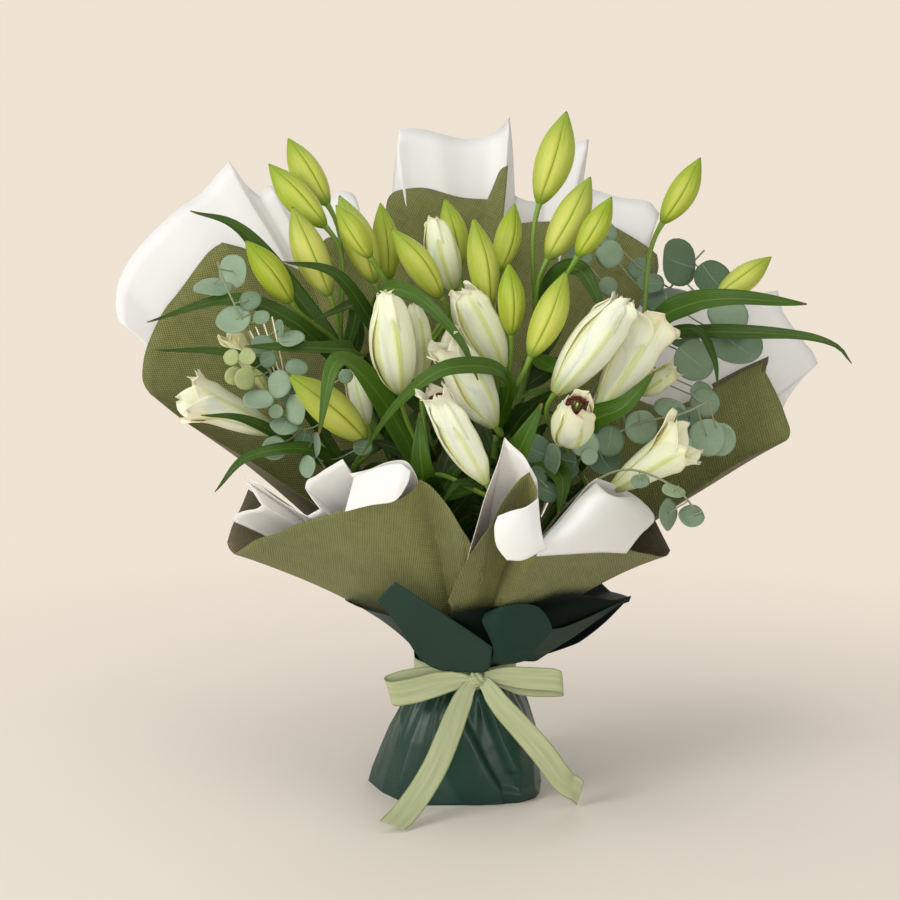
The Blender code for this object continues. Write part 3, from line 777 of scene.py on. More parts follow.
@dataclass(frozen=True)
class GumSkin(Finish):
    """A eucalyptus leaf under its powdery bloom. The tone goes from dark over grey to yellow-green."""

    dark: str = "4B6549"
    grey: str = "94AA8C"
    fresh: str = "AEB878"
    vein: str = "9DB096"
    rust: str = "8A6B4A"

    def paint(self, graph: Graph) -> Surface:
        """Paints the leaf over its map: u and v across the disc, with its base at v = 0."""
        vector, u, v = graph.uv()
        tone = graph.tone()
        patches = graph.group(mottle(), Vector=graph.place(), Scale=55.0, Contrast=0.7)[0]
        middle = graph.off_middle(u)
        rib = graph.times(graph.step(middle, 0.022, 0.006), graph.step(v, 1.0, 0.55), 0.4)
        fan = graph.math("COSINE", graph.times(graph.math("SUBTRACT", v, graph.times(middle, 0.9)), 44.0))
        twigs = graph.times(graph.step(fan, 0.86, 1.0), graph.step(middle, 0.46, 0.1), 0.10)
        reach = graph.node("VectorMath", {0: vector, 1: (0.5, 0.5, 0)}, operation="DISTANCE").outputs["Value"]
        spots = graph.step(graph.noise(graph.place(), 260.0, 2.0), 0.6, 0.68)
        colour = graph.coats(
            graph.blend(graph.step(tone, 0.0, 0.7), self.dark, self.grey),
            (graph.step(tone, 0.8, 1.0), self.fresh),
            (graph.times(patches, 0.30), self.dark),
            (graph.math("MAXIMUM", rib, twigs), self.vein),
            (graph.times(graph.step(reach, 0.47, 0.5), graph.line(spots, 0.5, 0.2)), self.rust),
        )
        height = graph.line(rib, 1.4, graph.times(patches, 0.6))
        return Surface(colour, graph.line(patches, 0.18, 0.52), height, 0.0004, 0.5)


@dataclass(frozen=True)
class LinenPaper(Finish):
    """Wrapping paper woven like linen, with lighter worn patches."""

    dark: str = "424519"
    light: str = "9A9C5C"
    worn: str = "999B5F"
    threads: float = 430.0

    def paint(self, graph: Graph) -> Surface:
        """Paints the weave over a map in metres."""
        weave = graph.group(linen(), UV=graph.uv()[0], Threads=self.threads)
        patches = graph.group(mottle(), Vector=graph.place(), Scale=7.0, Contrast=1.0)[0]
        base = graph.blend(graph.clamp(graph.line(weave["Height"], 0.85, -0.35)), self.dark, self.light)
        colour = graph.coats(base, (graph.times(patches, 0.30), self.worn))
        return Surface(colour, graph.line(weave["Slub"], 0.25, 0.62), weave["Height"], 0.0006, 1.0)


@dataclass(frozen=True)
class SmoothPaper(Finish):
    """Plain paper or film with soft dents and faint cloudiness."""

    roughness: float = 0.6
    light: str = "F2F0EC"
    shade: str = "E6E2DC"
    dents: float = 0.0012
    dent_scale: float = 9.0

    def paint(self, graph: Graph) -> Surface:
        """Paints the sheet in object space."""
        where = graph.place()
        patches = graph.group(mottle(), Vector=where, Scale=6.0, Contrast=0.7)[0]
        grain = graph.noise(where, 900.0, 2.0)
        dent = graph.group(crumple(), Vector=where, Scale=self.dent_scale)[0]
        colour = graph.blend(graph.times(patches, 0.6), self.light, self.shade)
        rough = graph.line(graph.math("SUBTRACT", grain, 0.5), 0.15, self.roughness)
        return Surface(colour, rough, graph.line(grain, 0.02, dent), self.dents, 0.6)


@dataclass(frozen=True)
class RibbonSatin(Finish):
    """Sage satin ribbon: fine cross ribs, long streaks of painted sheen and a darker selvedge."""

    light: str = "B5BC93"
    dark: str = "A5AE80"
    edge: str = "84915C"
    ribs: float = 1400.0  # per metre

    def paint(self, graph: Graph) -> Surface:
        """Paints the ribbon over its map: u across from 0 to 1, v along in metres."""
        _, u, v = graph.uv()
        side = graph.times(graph.off_middle(u), 2.0)
        # Long streaks, lighter and darker along the ribbon: painted sheen in the colour, and uneven
        # roughness.
        painted_sheen = graph.streaks(u, v, 5.0, 16.0, 2.0)
        thread = graph.streaks(u, v, 90.0, 60.0, 2.0)
        ribs = graph.math("SINE", graph.times(v, math.tau * self.ribs))
        colour = graph.coats(
            graph.blend(graph.step(painted_sheen, 0.3, 0.7), self.light, self.dark),
            (graph.times(thread, 0.15), self.dark),
            (graph.times(graph.step(side, 0.86, 0.97), 0.7), self.edge),
        )
        hem = graph.math("ADD", graph.step(side, 0.84, 0.90), graph.times(thread, 0.15))
        return Surface(colour, graph.line(painted_sheen, 0.25, 0.25), graph.line(ribs, 0.15, hem), 0.0002, 0.5)


@dataclass(frozen=True)
class Powder(Finish):
    """Rough plant matter, such as pollen or dry fibre, between two colours."""

    roughness: float = 0.8
    low: str = "3A1310"
    high: str = "6B2A1E"
    scale: float = 900.0

    def paint(self, graph: Graph) -> Surface:
        """Paints grains in object space."""
        grain = graph.noise(graph.place(), self.scale, 3.0)
        colour = graph.blend(graph.step(grain, 0.35, 0.65), self.low, self.high)
        return Surface(colour, graph.line(grain, 0.2, self.roughness - 0.1), grain, 0.0005, 0.8)


BUD_SKIN = BudSkin("lily bud skin", glow=0.15)
PETAL_SKIN = PetalSkin("lily petal", glow=0.25)
ANTHER = Powder("anther pollen")
FILAMENT = Powder("filament", roughness=0.5, low="A9B75A", high="D5DC96", scale=300.0)
STEM_SKIN = StemSkin("lily stem", coat=0.1)
LEAF_SKIN = LeafSkin("lily leaf")
GUM_SKIN = GumSkin("eucalyptus leaf", sheen=0.15)
TWIG_SKIN = StemSkin("eucalyptus twig", dark="5D6B4C", light="A9B08A", scar="7B5B45")
DRY_TWIG = StemSkin("pale twig", dark="B7A984", light="E6DCC0", scar="8C7A58")
OLIVE_FACE = LinenPaper("olive linen paper", sheen=0.1)
OLIVE_BACK = LinenPaper(
    "olive linen paper reverse", dark="443E2C", light="867C5C", worn="908667", sheen=0.05
)
WHITE_PAPER = SmoothPaper("white liner paper", glow=0.1)
SATIN_WRAP = SmoothPaper(
    "dark green satin", roughness=0.34, light="1E4236", shade="122B22", dents=0.0020, dent_scale=12.0
)
MATTE_WRAP = SmoothPaper(
    "dark green matte", specular=0.16, light="2B4136", shade="22342A", dents=0.0010, dent_scale=8.0
)
TAUPE_WRAP = SmoothPaper(
    "taupe green matte", specular=0.16, roughness=0.7, light="37443A", shade="26342B", dents=0.0010,
    dent_scale=8.0,
)
PANEL_WRAP = SmoothPaper(
    "deep green satin", specular=0.16, roughness=0.5, light="1F3B32", shade="152C23", dent_scale=10.0
)
# Painted shade: the green wrap's colour darkened to near black for its insides, which stand in deep shade.
PAINTED_SHADE_WRAP = SmoothPaper(
    "green wrap inside in painted shade", specular=0.08, light="0F1A15", shade="080E0B", dent_scale=10.0
)
RIBBON = RibbonSatin("sage satin ribbon", sheen=0.3)
POUCH = SmoothPaper(
    "clear pouch", clear=0.92, ior=1.4, roughness=0.12, light="DCE8EA", shade="C7D8DC", dents=0.003,
    dent_scale=30.0,
)
RAFFIA = Powder("raffia", roughness=0.7, low="A98F5C", high="D9C79A", scale=240.0)
FLOOR = SmoothPaper(
    "studio floor", roughness=0.9, light="F2E8DB", shade="F0E6D9", dents=0.0, dent_scale=4.0
)


# ---------------------------------------------------------------- flower heads


@dataclass(frozen=True)
class HeadAxis:
    """Where a flower head stands: its foot, its tip and its greatest radius, in millimetres."""

    foot: Array
    tip: Array
    girth: float

    @classmethod
    def of(cls, node: str) -> "HeadAxis":
        """Measures a CAD head, whose mesh is turned round its own axis.

        Args:
            node: Its name.

        Returns:
            Its axis, with the foot towards the neck.
        """
        points = np.array([v.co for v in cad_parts[node].data.vertices], float) / MM
        box_middle = (points.min(axis=0) + points.max(axis=0)) / 2
        points = np.unique(np.round(points, 3), axis=0)
        middle = points.mean(axis=0)
        along = np.linalg.svd(points - middle, full_matrices=False)[2][0]
        if along @ (box_middle - (*NECK, NECK_HEIGHT)) < 0:
            along = -along
        reach = (points - middle) @ along
        girth = np.linalg.norm(points - middle - reach[:, None] * along, axis=1).max()
        return cls(middle + along * reach.min(), middle + along * reach.max(), float(girth))

    @classmethod
    def between(cls, foot: Point, tip: Point, girth: float) -> "HeadAxis":
        """The axis of a head that has no CAD node."""
        return cls(np.array(foot, float), np.array(tip, float), girth)

    @property
    def length(self) -> float:
        """Distance from foot to tip."""
        return float(np.linalg.norm(self.tip - self.foot))

    def frame(self) -> tuple[Array, Array, Array]:
        """Directions along the head, out of it to the front, and to its side."""
        along = unit(self.tip - self.foot)
        out = unit(FRONT - along * (FRONT @ along))
        return along, out, np.cross(along, out)


@dataclass(frozen=True)
class LilyBud:
    """A closed bud of three outer tepals, which meet in grooved seams.

    The relief's heights are shares of the radius, and its widths are shares of a tepal.
    """

    OUTLINE = (  # share of the length, share of the radius
        (0, 0.15), (0.015, 0.24), (0.05, 0.38), (0.12, 0.58), (0.22, 0.79), (0.34, 0.94), (0.48, 1.0),
        (0.62, 0.93), (0.75, 0.73), (0.86, 0.46), (0.94, 0.23), (0.985, 0.09), (1, 0.015),
    )

    node: str
    ripeness: float
    seam: float  # azimuth of a seam, in degrees
    bend: float = 1.2  # sideways, in millimetres
    split: float = 0.0  # how deep the tip parts
    split_width: float = 0.10
    swell: float = 0.030
    flutes: float = 0.012
    groove: float = 0.060
    groove_width: float = 0.035
    twist: float = 0.10
    rows: int = 42
    columns: int = 72

    def build(self) -> None:
        """Builds the bud over its CAD node."""
        axis = HeadAxis.of(self.node)
        along, out, side = axis.frame()
        v = 0.5 - 0.5 * np.cos(math.pi * np.linspace(0, 1, self.rows))
        height = v[:, None]
        outline = smooth_path(self.OUTLINE, 120)
        radius = axis.girth * np.interp(v, outline[:, 0], outline[:, 1])[:, None]
        u = np.linspace(0, 1, self.columns, endpoint=False)
        from_seam = 0.5 - np.abs((3 * u) % 1 - 0.5)
        body = smoothstep(height, 0.0, 0.2)
        relief = (
            self.swell * body * -np.cos(3 * math.tau * u)
            + self.flutes * body * self.ripeness * np.cos(9 * math.tau * u)
            - self.groove * body * np.exp(-((from_seam / self.groove_width) ** 2))
            - self.split * smoothstep(height, 0.80, 1.0) * np.exp(-((from_seam / self.split_width) ** 2))
        )
        radius = radius * (1 + relief)
        turn = math.tau * u + math.radians(self.seam) + self.twist * np.sin(3 * height)
        centre = axis.foot + np.outer(v * axis.length, along)
        centre = centre + np.outer(np.sin(math.pi * v) * self.bend, side)
        points = centre[:, None] + radius[..., None] * (
            np.cos(turn)[..., None] * out + np.sin(turn)[..., None] * side
        )
        patch = Patchwork()
        patch.grid(points, uv_grid(np.linspace(0, 1, self.columns + 1), v), self.ripeness)
        place(patch.to_object(self.node + "_tepals", [BUD_SKIN]), Slot.BUD, self.node)


@dataclass(frozen=True)
class PetalLine:
    """The middle line of a petal from foot to tip, as shares of the radius and of the length."""

    radii: tuple[float, ...]
    heights: tuple[float, ...]

    def path(self, count: int) -> tuple[Array, Array]:
        """The two shares at count places along the line, as columns."""
        points = smooth_path(tuple(zip(self.radii, self.heights)), count)
        return points[:, :1], points[:, 1:]


CLOSED = PetalLine(
    (0.20, 0.46, 0.78, 0.98, 0.95, 0.76, 0.48, 0.26),
    (0, 0.07, 0.20, 0.40, 0.60, 0.78, 0.91, 1),
)
TRUMPET = PetalLine(
    (0.20, 0.42, 0.70, 0.92, 0.98, 0.88, 0.64, 0.42),
    (0, 0.07, 0.20, 0.38, 0.58, 0.76, 0.90, 1),
)
PARTED = PetalLine(
    (0.18, 0.42, 0.74, 0.96, 0.94, 0.80, 0.70, 0.84),
    (0, 0.08, 0.22, 0.42, 0.60, 0.78, 0.92, 1.02),
)
NARROW = PetalLine(
    (0.18, 0.50, 0.86, 1.0, 0.94, 0.76, 0.58, 0.56),
    (0, 0.08, 0.24, 0.44, 0.64, 0.82, 0.94, 1.02),
)
FLARED = PetalLine(
    (0.16, 0.36, 0.58, 0.78, 0.88, 0.92, 1.05, 1.30),
    (0, 0.08, 0.25, 0.48, 0.68, 0.84, 0.96, 1),
)
STAR = PetalLine(
    (0.18, 0.36, 0.58, 0.74, 0.84, 0.98, 1.14, 1.30),
    (0, 0.10, 0.28, 0.50, 0.70, 0.86, 1, 1.10),
)


@dataclass(frozen=True)
class Ring:
    """One of a lily's two rings of three petals, in shares of the head's radius."""

    reach: float
    width: float
    overlap: float  # how much farther out one side of a petal lies than its middle
    tone: float  # share of the bloom's own tone


@dataclass(frozen=True)
class LilyBloom:
    """A lily whose six petals have begun to part, with its stamens inside."""

    RINGS = (Ring(1.0, 0.82, 0.09, 1.0), Ring(0.93, 1.06, 0.045, 0.6))
    HALF_WIDTH = (  # share of the length, share of the radius
        (0, 0.20), (0.10, 0.45), (0.28, 0.86), (0.50, 1.10), (0.70, 1.08), (0.84, 0.82), (0.93, 0.46),
        (1, 0.05),
    )
    LENGTHS = (0.93, 1.03)  # shortest and longest petal, as shares of the head's length
    WIDEST_BEND = 1.25  # radians from a petal's middle to its edge
    EDGE_CURL = 0.16
    KEEL = 0.06
    TIP_SLANT = 0.03
    STAMENS = 6
    STAMEN_SPREAD = (0.30, 0.50)  # shares of the head's radius
    STAMEN_REACH = (0.86, 0.94)  # shares of its length
    FILAMENT_RADIUS = 0.7
    PISTIL_RADIUS = 1.1
    ANTHER_RADIUS = 1.9
    ANTHER_HALF = 5.0

    name: str
    axis: HeadAxis
    line: PetalLine
    tone: float
    turn: float = 0.0
    ruffle: float = 0.10
    stamens: bool = False
    nodes: tuple[str, ...] = ()
    rows: int = 40
    columns: int = 19

    def petal(self, ring: Ring, angle: float, rng: np.random.Generator) -> Array:
        """The grid of one petal.

        Args:
            ring: The ring that it stands in.
            angle: Azimuth of its middle line, in radians.
            rng: Source of its own unevenness.

        Returns:
            Rows by columns by 3, in millimetres.
        """
        girth, length = self.axis.girth, self.axis.length
        along, out, side = self.axis.frame()
        radii, heights = self.line.path(self.rows)
        v = np.linspace(0, 1, self.rows)[:, None]
        w = np.linspace(-1, 1, self.columns)
        z = heights * length * rng.uniform(*self.LENGTHS)
        r = radii * girth * ring.reach
        widths = smooth_path(self.HALF_WIDTH, 60)
        half = girth * np.interp(v, widths[:, 0], widths[:, 1]) * ring.width
        turn = angle + w * np.minimum(half / np.maximum(r, 0.5), self.WIDEST_BEND)
        loose = smoothstep(v, 0.45, 1.0)
        phase = rng.uniform(0, math.tau, 3)
        waves = np.sin(math.tau * (2.6 * v + 0.15 * w) + phase[0])
        waves = waves + 0.6 * np.sin(math.tau * 5.1 * v + phase[1] + w)
        edge = np.abs(w) ** 2.2
        r = r + girth * self.ruffle * waves * edge * (0.15 + loose)
        r = r + girth * self.EDGE_CURL * edge * loose * rng.uniform(0.2, 1.4)
        r = r + girth * self.KEEL * np.exp(-((w / 0.16) ** 2)) * (1 - 0.6 * loose)
        r = r * (1 + ring.overlap * w)
        z = z + self.TIP_SLANT * length * loose * np.sin(phase[2] + 2.0 * w)
        return (
            self.axis.foot
            + z[..., None] * along
            + r[..., None] * (np.cos(turn)[..., None] * out + np.sin(turn)[..., None] * side)
        )

    def build(self) -> None:
        """Builds the petals and, where they show, the stamens."""
        rng = np.random.default_rng(sum(map(ord, self.name)))
        petals = Patchwork()
        uv = uv_grid(np.linspace(0, 1, self.columns), np.linspace(0, 1, self.rows))
        for number in range(6):
            ring = self.RINGS[number % 2]
            angle = math.radians(self.turn + 60 * number + rng.uniform(-5, 5))
            petals.grid(self.petal(ring, angle, rng), uv, self.tone * ring.tone)
        made = petals.to_object(self.name + "_petals", [PETAL_SKIN], PETAL_THICKNESS)
        place(made, Slot.PETAL, *self.nodes)
        if self.stamens:
            self.build_stamens(rng)

    def build_stamens(self, rng: np.random.Generator) -> None:
        """Builds six filaments with their anthers, and the pistil in their middle.

        Args:
            rng: Source of their unevenness.
        """
        along, out, side = self.axis.frame()
        foot, length = self.axis.foot, self.axis.length
        parts = Patchwork()
        plump = self.ANTHER_RADIUS * np.sqrt(1 - np.linspace(-0.93, 0.93, 9) ** 2)
        for number in range(self.STAMENS + 1):
            pistil = number == self.STAMENS
            angle = number * math.tau / self.STAMENS + 0.4
            spread = 0.0 if pistil else self.axis.girth * rng.uniform(*self.STAMEN_SPREAD)
            away = math.cos(angle) * out + math.sin(angle) * side
            top = foot + along * length * rng.uniform(*self.STAMEN_REACH) + away * spread
            middle = foot + along * length * 0.5 + away * spread * 0.35
            line = smooth_path([foot + along * 4, middle, top], 10)
            parts.tube(line, self.PISTIL_RADIUS if pistil else self.FILAMENT_RADIUS, 7)
            if not pistil:
                lean = unit(np.cross(along, away) + 0.4 * along)
                anther = top + np.linspace(-self.ANTHER_HALF, self.ANTHER_HALF, 9)[:, None] * lean
                parts.tube(anther, plump, 8, slot=1)
        place(parts.to_object(self.name + "_stamens", [FILAMENT, ANTHER]), Slot.PETAL)


# Axes of three small heads that have no CAD node
SMALL_LEFT = HeadAxis.between((-82, -60, 369), (-96, -60, 421), 11)
SMALL_FAR_LEFT = HeadAxis.between((-179, -20, 395), (-208, -30, 449), 11)
SMALL_RIGHT = HeadAxis.between((175, -30, 394), (209, -30, 419), 11)


def buds() -> tuple[LilyBud, ...]:
    """The closed buds, each by its ripeness, seam, bend and split.

    Returns:
        One bud for each CAD node.
    """
    traits = (
        (0.20, 20, -2), (0.12, 22, -2), (0.55, 12, -2), (0.04, 10), (0.15, -22), (0.40, 8), (0.10, 5),
        (0.30, 26), (0.10, 2), (0.30, 16), (0.12, 20), (0.05, 6), (0.30, -10, 2), (0.42, -14, 2),
        (0.05, -12), (0.28, -8, 2), (0.10, -10, 2), (0.35, -30), (0.40, 12, 1.2, 0.15),
    )
    return tuple(LilyBud(f"lily_bud_{number:02d}", *own) for number, own in enumerate(traits, 1))


def blooms() -> tuple[LilyBloom, ...]:
    """The heads whose petals have parted, each by its line, tone, turn, ruffle and stamens.

    Returns:
        The heads on CAD nodes, then three small ones without.
    """
    on_nodes = (
        ("cream_lily_01", CLOSED, 0.45, 0.0, 0.02, False),
        ("cream_lily_02", CLOSED, 0.40, 12.0, 0.02, False),
        ("cream_lily_03", CLOSED, 0.50, 30.0, 0.02, False),
        ("cream_lily_04", PARTED, 0.15, 10.0, 0.09, True),
        ("cream_lily_05", PARTED, 0.15, 35.0, 0.06, False),
        ("cream_lily_06", TRUMPET, 0.35, 20.0, 0.08, False),
        ("open_lily_01", TRUMPET, 0.10, 15.0, 0.06, False),
        ("open_lily_02", FLARED, 0.15, 0.0, 0.10, False),
        ("open_lily_03", NARROW, 0.45, 20.0, 0.05, True),
        ("open_lily_04", STAR, 0.15, 30.0, 0.05, False),
        ("open_lily_05", STAR, 0.35, 5.0, 0.04, False),
    )
    small = (
        ("hidden_lily_left", SMALL_LEFT, PARTED, 0.25),
        ("small_lily_left", SMALL_FAR_LEFT, STAR, 0.9),
        ("shaded_lily_right", SMALL_RIGHT, PARTED, 0.8),
    )
    return (
        *(LilyBloom(name, HeadAxis.of(name), *own, nodes=(name,)) for name, *own in on_nodes),
        *(LilyBloom(*own) for own in small),
    )


# ---------------------------------------------------------------- stems and leaves


@dataclass(frozen=True)
class Leaf:
    """A lily leaf: its route from the stem to the tip and its greatest width, in millimetres."""

    FACING = np.array((0.0, -1.0, 0.7))
    KEEL = 0.25  # depth of the midrib below the edges, as a share of half the width
    SPAN = (0.06, 0.92)  # the part of a sine arch that the width follows: its start and its length
    LEAN = 0.75  # below 1, the widest place is nearer the foot
    FULLNESS = 0.9
    ROLL = 0.12
    WAVE = 0.13

    route: Sequence[Sequence[float]]
    width: float
    tone: float
    rows: int = 30
    columns: int = 9

    def add_to(self, patch: Patchwork, rng: np.random.Generator) -> None:
        """Adds the blade to a patchwork.

        Args:
            patch: Where it goes.
            rng: Source of its own waves.
        """
        line = smooth_path(self.route, self.rows)[:, None]
        along = unit(np.gradient(line, axis=0))
        v = np.linspace(0, 1, self.rows)[:, None]
        w = np.linspace(-1, 1, self.columns)
        across = unit(np.cross(along, self.FACING))
        up = np.cross(across, along)
        roll = self.ROLL * np.sin(2.2 * math.pi * v + rng.uniform(0, 6))[..., None]
        across, up = across * np.cos(roll) + up * np.sin(roll), up * np.cos(roll) - across * np.sin(roll)
        start, length = self.SPAN
        half = 0.5 * self.width * np.sin(math.pi * (start + length * v) ** self.LEAN) ** self.FULLNESS
        wave = np.sin(math.tau * 1.7 * v + rng.uniform(0, 6) + np.sign(w) * 0.9) * np.abs(w) ** 1.5
        lift = half * (self.KEEL * (np.abs(w) ** 1.3 - 1) + self.WAVE * wave)
        points = line + (half * w)[..., None] * across + lift[..., None] * up
        patch.grid(points, uv_grid(np.linspace(0, 1, self.columns), v), self.tone)


def bundle_line(azimuth: float, radius: float) -> Array:
    """The spiral of a stem below the tie.

    Args:
        azimuth: Where it passes the tie, in degrees.
        radius: Its distance from the middle of the neck there.

    Returns:
        Five points from its cut end up to the tie.
    """
    share = np.linspace(0, 1, 5)
    angle = np.radians(azimuth - STEM_TWIST * (1 - share))
    reach = radius * (STEM_SPLAY + (1 - STEM_SPLAY) * share)
    middle = POUCH_X + (NECK[0] - POUCH_X) * share
    height = STEM_FOOT + (NECK_HEIGHT - STEM_FOOT) * share
    return np.stack([middle + reach * np.cos(angle), reach * np.sin(angle), height], axis=1)


def stem_line(azimuth: float, bundle_radius: float, crown: Point) -> Array:
    """A stem from its cut end through the tie to its crown.

    Args:
        azimuth: Where it passes the tie, in degrees.
        bundle_radius: Its distance from the middle of the neck there.
        crown: Its upper end.

    Returns:
        Points along it.
    """
    below = bundle_line(azimuth, bundle_radius)
    end = np.array(crown, float)
    reach = np.linalg.norm(end - below[-1]) / 3
    leaving = unit(below[-1] - below[-2]) * reach
    arriving = unit(end - below[-1]) * reach
    return np.vstack([below[:-1], bezier(below[-1], below[-1] + leaving, end - arriving, end, 22)])


def keep_inside(point: Array) -> Array:
    """Draws a point in until it is clear of the papers that stand round the flowers.

    Args:
        point: Where it would be.

    Returns:
        Where it is.
    """
    centre = np.array((*NECK, point[2]))
    across = point - centre
    base, slope = PAPER_CONE_BEHIND if point[1] > 0 else PAPER_CONE_BEFORE
    reach = base + slope * (point[2] - SHEET_BEND)
    return centre + across * min(1.0, reach / max(np.linalg.norm(across), TINY))


@dataclass(frozen=True)
class LilyStem:
    """A lily stem with its pedicels and leaves."""

    TONE = 0.45
    FILLERS = 15  # short dark leaves, whose sizes and tones lie in these ranges
    FILLER_LENGTH = (55, 95)
    FILLER_RISE = (0.55, 1.0)
    FILLER_WIDTH = (12, 20)
    FILLER_TONE = (0.0, 0.35)

    node: str
    azimuth: float
    crown: Point
    heads: tuple[str, ...]
    leaves: tuple[Leaf, ...]
    fork: Point | None = None
    fork_heads: tuple[str, ...] = ()
    small_heads: tuple[HeadAxis, ...] = ()

    def pedicel(self, patch: Patchwork, start: Array, heading: Array, head: HeadAxis) -> None:
        """Adds the stalk of a head, which arrives along the head.

        Args:
            patch: Where it goes.
            start: Where it starts, inside the crown.
            heading: Its direction there.
            head: The head that it carries.
        """
        along = unit(head.tip - head.foot)
        end = head.foot - along * PEDICEL_STRAIGHT
        reach = np.linalg.norm(end - start) / 3
        line = bezier(start, start + heading * reach, end - along * reach, end, 16)
        line = np.vstack([line, head.foot - along * 2.0, head.foot + along])
        radii = PEDICEL_RADIUS * (1.05 + 0.35 * smoothstep(np.linspace(0, 1, len(line)), 0.8, 1.0))
        patch.tube(line, radii, 10, np.linspace(self.TONE, self.TONE + 0.35, len(line) + 2)[:, None])

    def build_stalks(self, line: Array) -> None:
        """Builds the stem, its fork and its pedicels.

        Args:
            line: The stem's middle line.
        """
        stalks = Patchwork()
        ripple = 1 + 0.05 * np.sin(np.linspace(0, 40, len(line)))
        stalks.tube(line, STEM_RADIUS * np.linspace(1.0, 0.86, len(line)) * ripple, 14, self.TONE * 0.7)
        heading = unit(line[-1] - line[-2])
        start = line[-1] - heading * STEM_RADIUS
        for head in (*map(HeadAxis.of, self.heads), *self.small_heads):
            self.pedicel(stalks, start, heading, head)
        if self.fork:
            fork = np.array(self.fork, float)
            route = smooth_path([start, (line[-1] + fork) / 2 + FORK_BEND, fork], 16)
            stalks.tube(route, FORK_RADIUS, 12, self.TONE)
            heading = unit(route[-1] - route[-2])
            for head in map(HeadAxis.of, self.fork_heads):
                self.pedicel(stalks, fork - heading * STEM_RADIUS, heading, head)
        place(stalks.to_object(self.node + "_stalks", [STEM_SKIN]), Slot.STEM, self.node)

    def filler_leaves(self, line: Array, rng: np.random.Generator) -> list[Leaf]:
        """The short dark leaves along the upper part of the stem, inside the papers.

        Args:
            line: The stem's middle line.
            rng: Source of their places and sizes.

        Returns:
            The leaves, from the lowest up.
        """
        found = []
        above = line[line[:, 2] > LEAVES_FROM]
        for number in range(self.FILLERS):
            root = above[int((number + 0.5) / self.FILLERS * (len(above) - 1))]
            angle = rng.uniform(0, math.tau)
            out = np.array((math.cos(angle), math.sin(angle), 0.0))
            length = rng.uniform(*self.FILLER_LENGTH)
            rise = length * rng.uniform(*self.FILLER_RISE)
            middle = root + out * length * 0.42 + UP * rise * 0.5
            tip = root + out * length * 0.9 + UP * rise * rng.uniform(0.3, 0.9)
            route = (root, keep_inside(middle), keep_inside(tip))
            found.append(Leaf(route, rng.uniform(*self.FILLER_WIDTH), rng.uniform(*self.FILLER_TONE)))
        return found

    def build(self) -> None:
        """Builds the stem and its leaves as two pieces."""
        rng = np.random.default_rng(sum(map(ord, self.node)))
        line = stem_line(self.azimuth, BUNDLE_RADIUS, self.crown)
        self.build_stalks(line)
        blades = Patchwork()
        for leaf in self.leaves:
            leaf.add_to(blades, rng)
        for leaf in self.filler_leaves(line, rng):
            leaf.add_to(blades, rng)
        place(blades.to_object(self.node + "_leaves", [LEAF_SKIN], LEAF_THICKNESS), Slot.STEM, self.node)


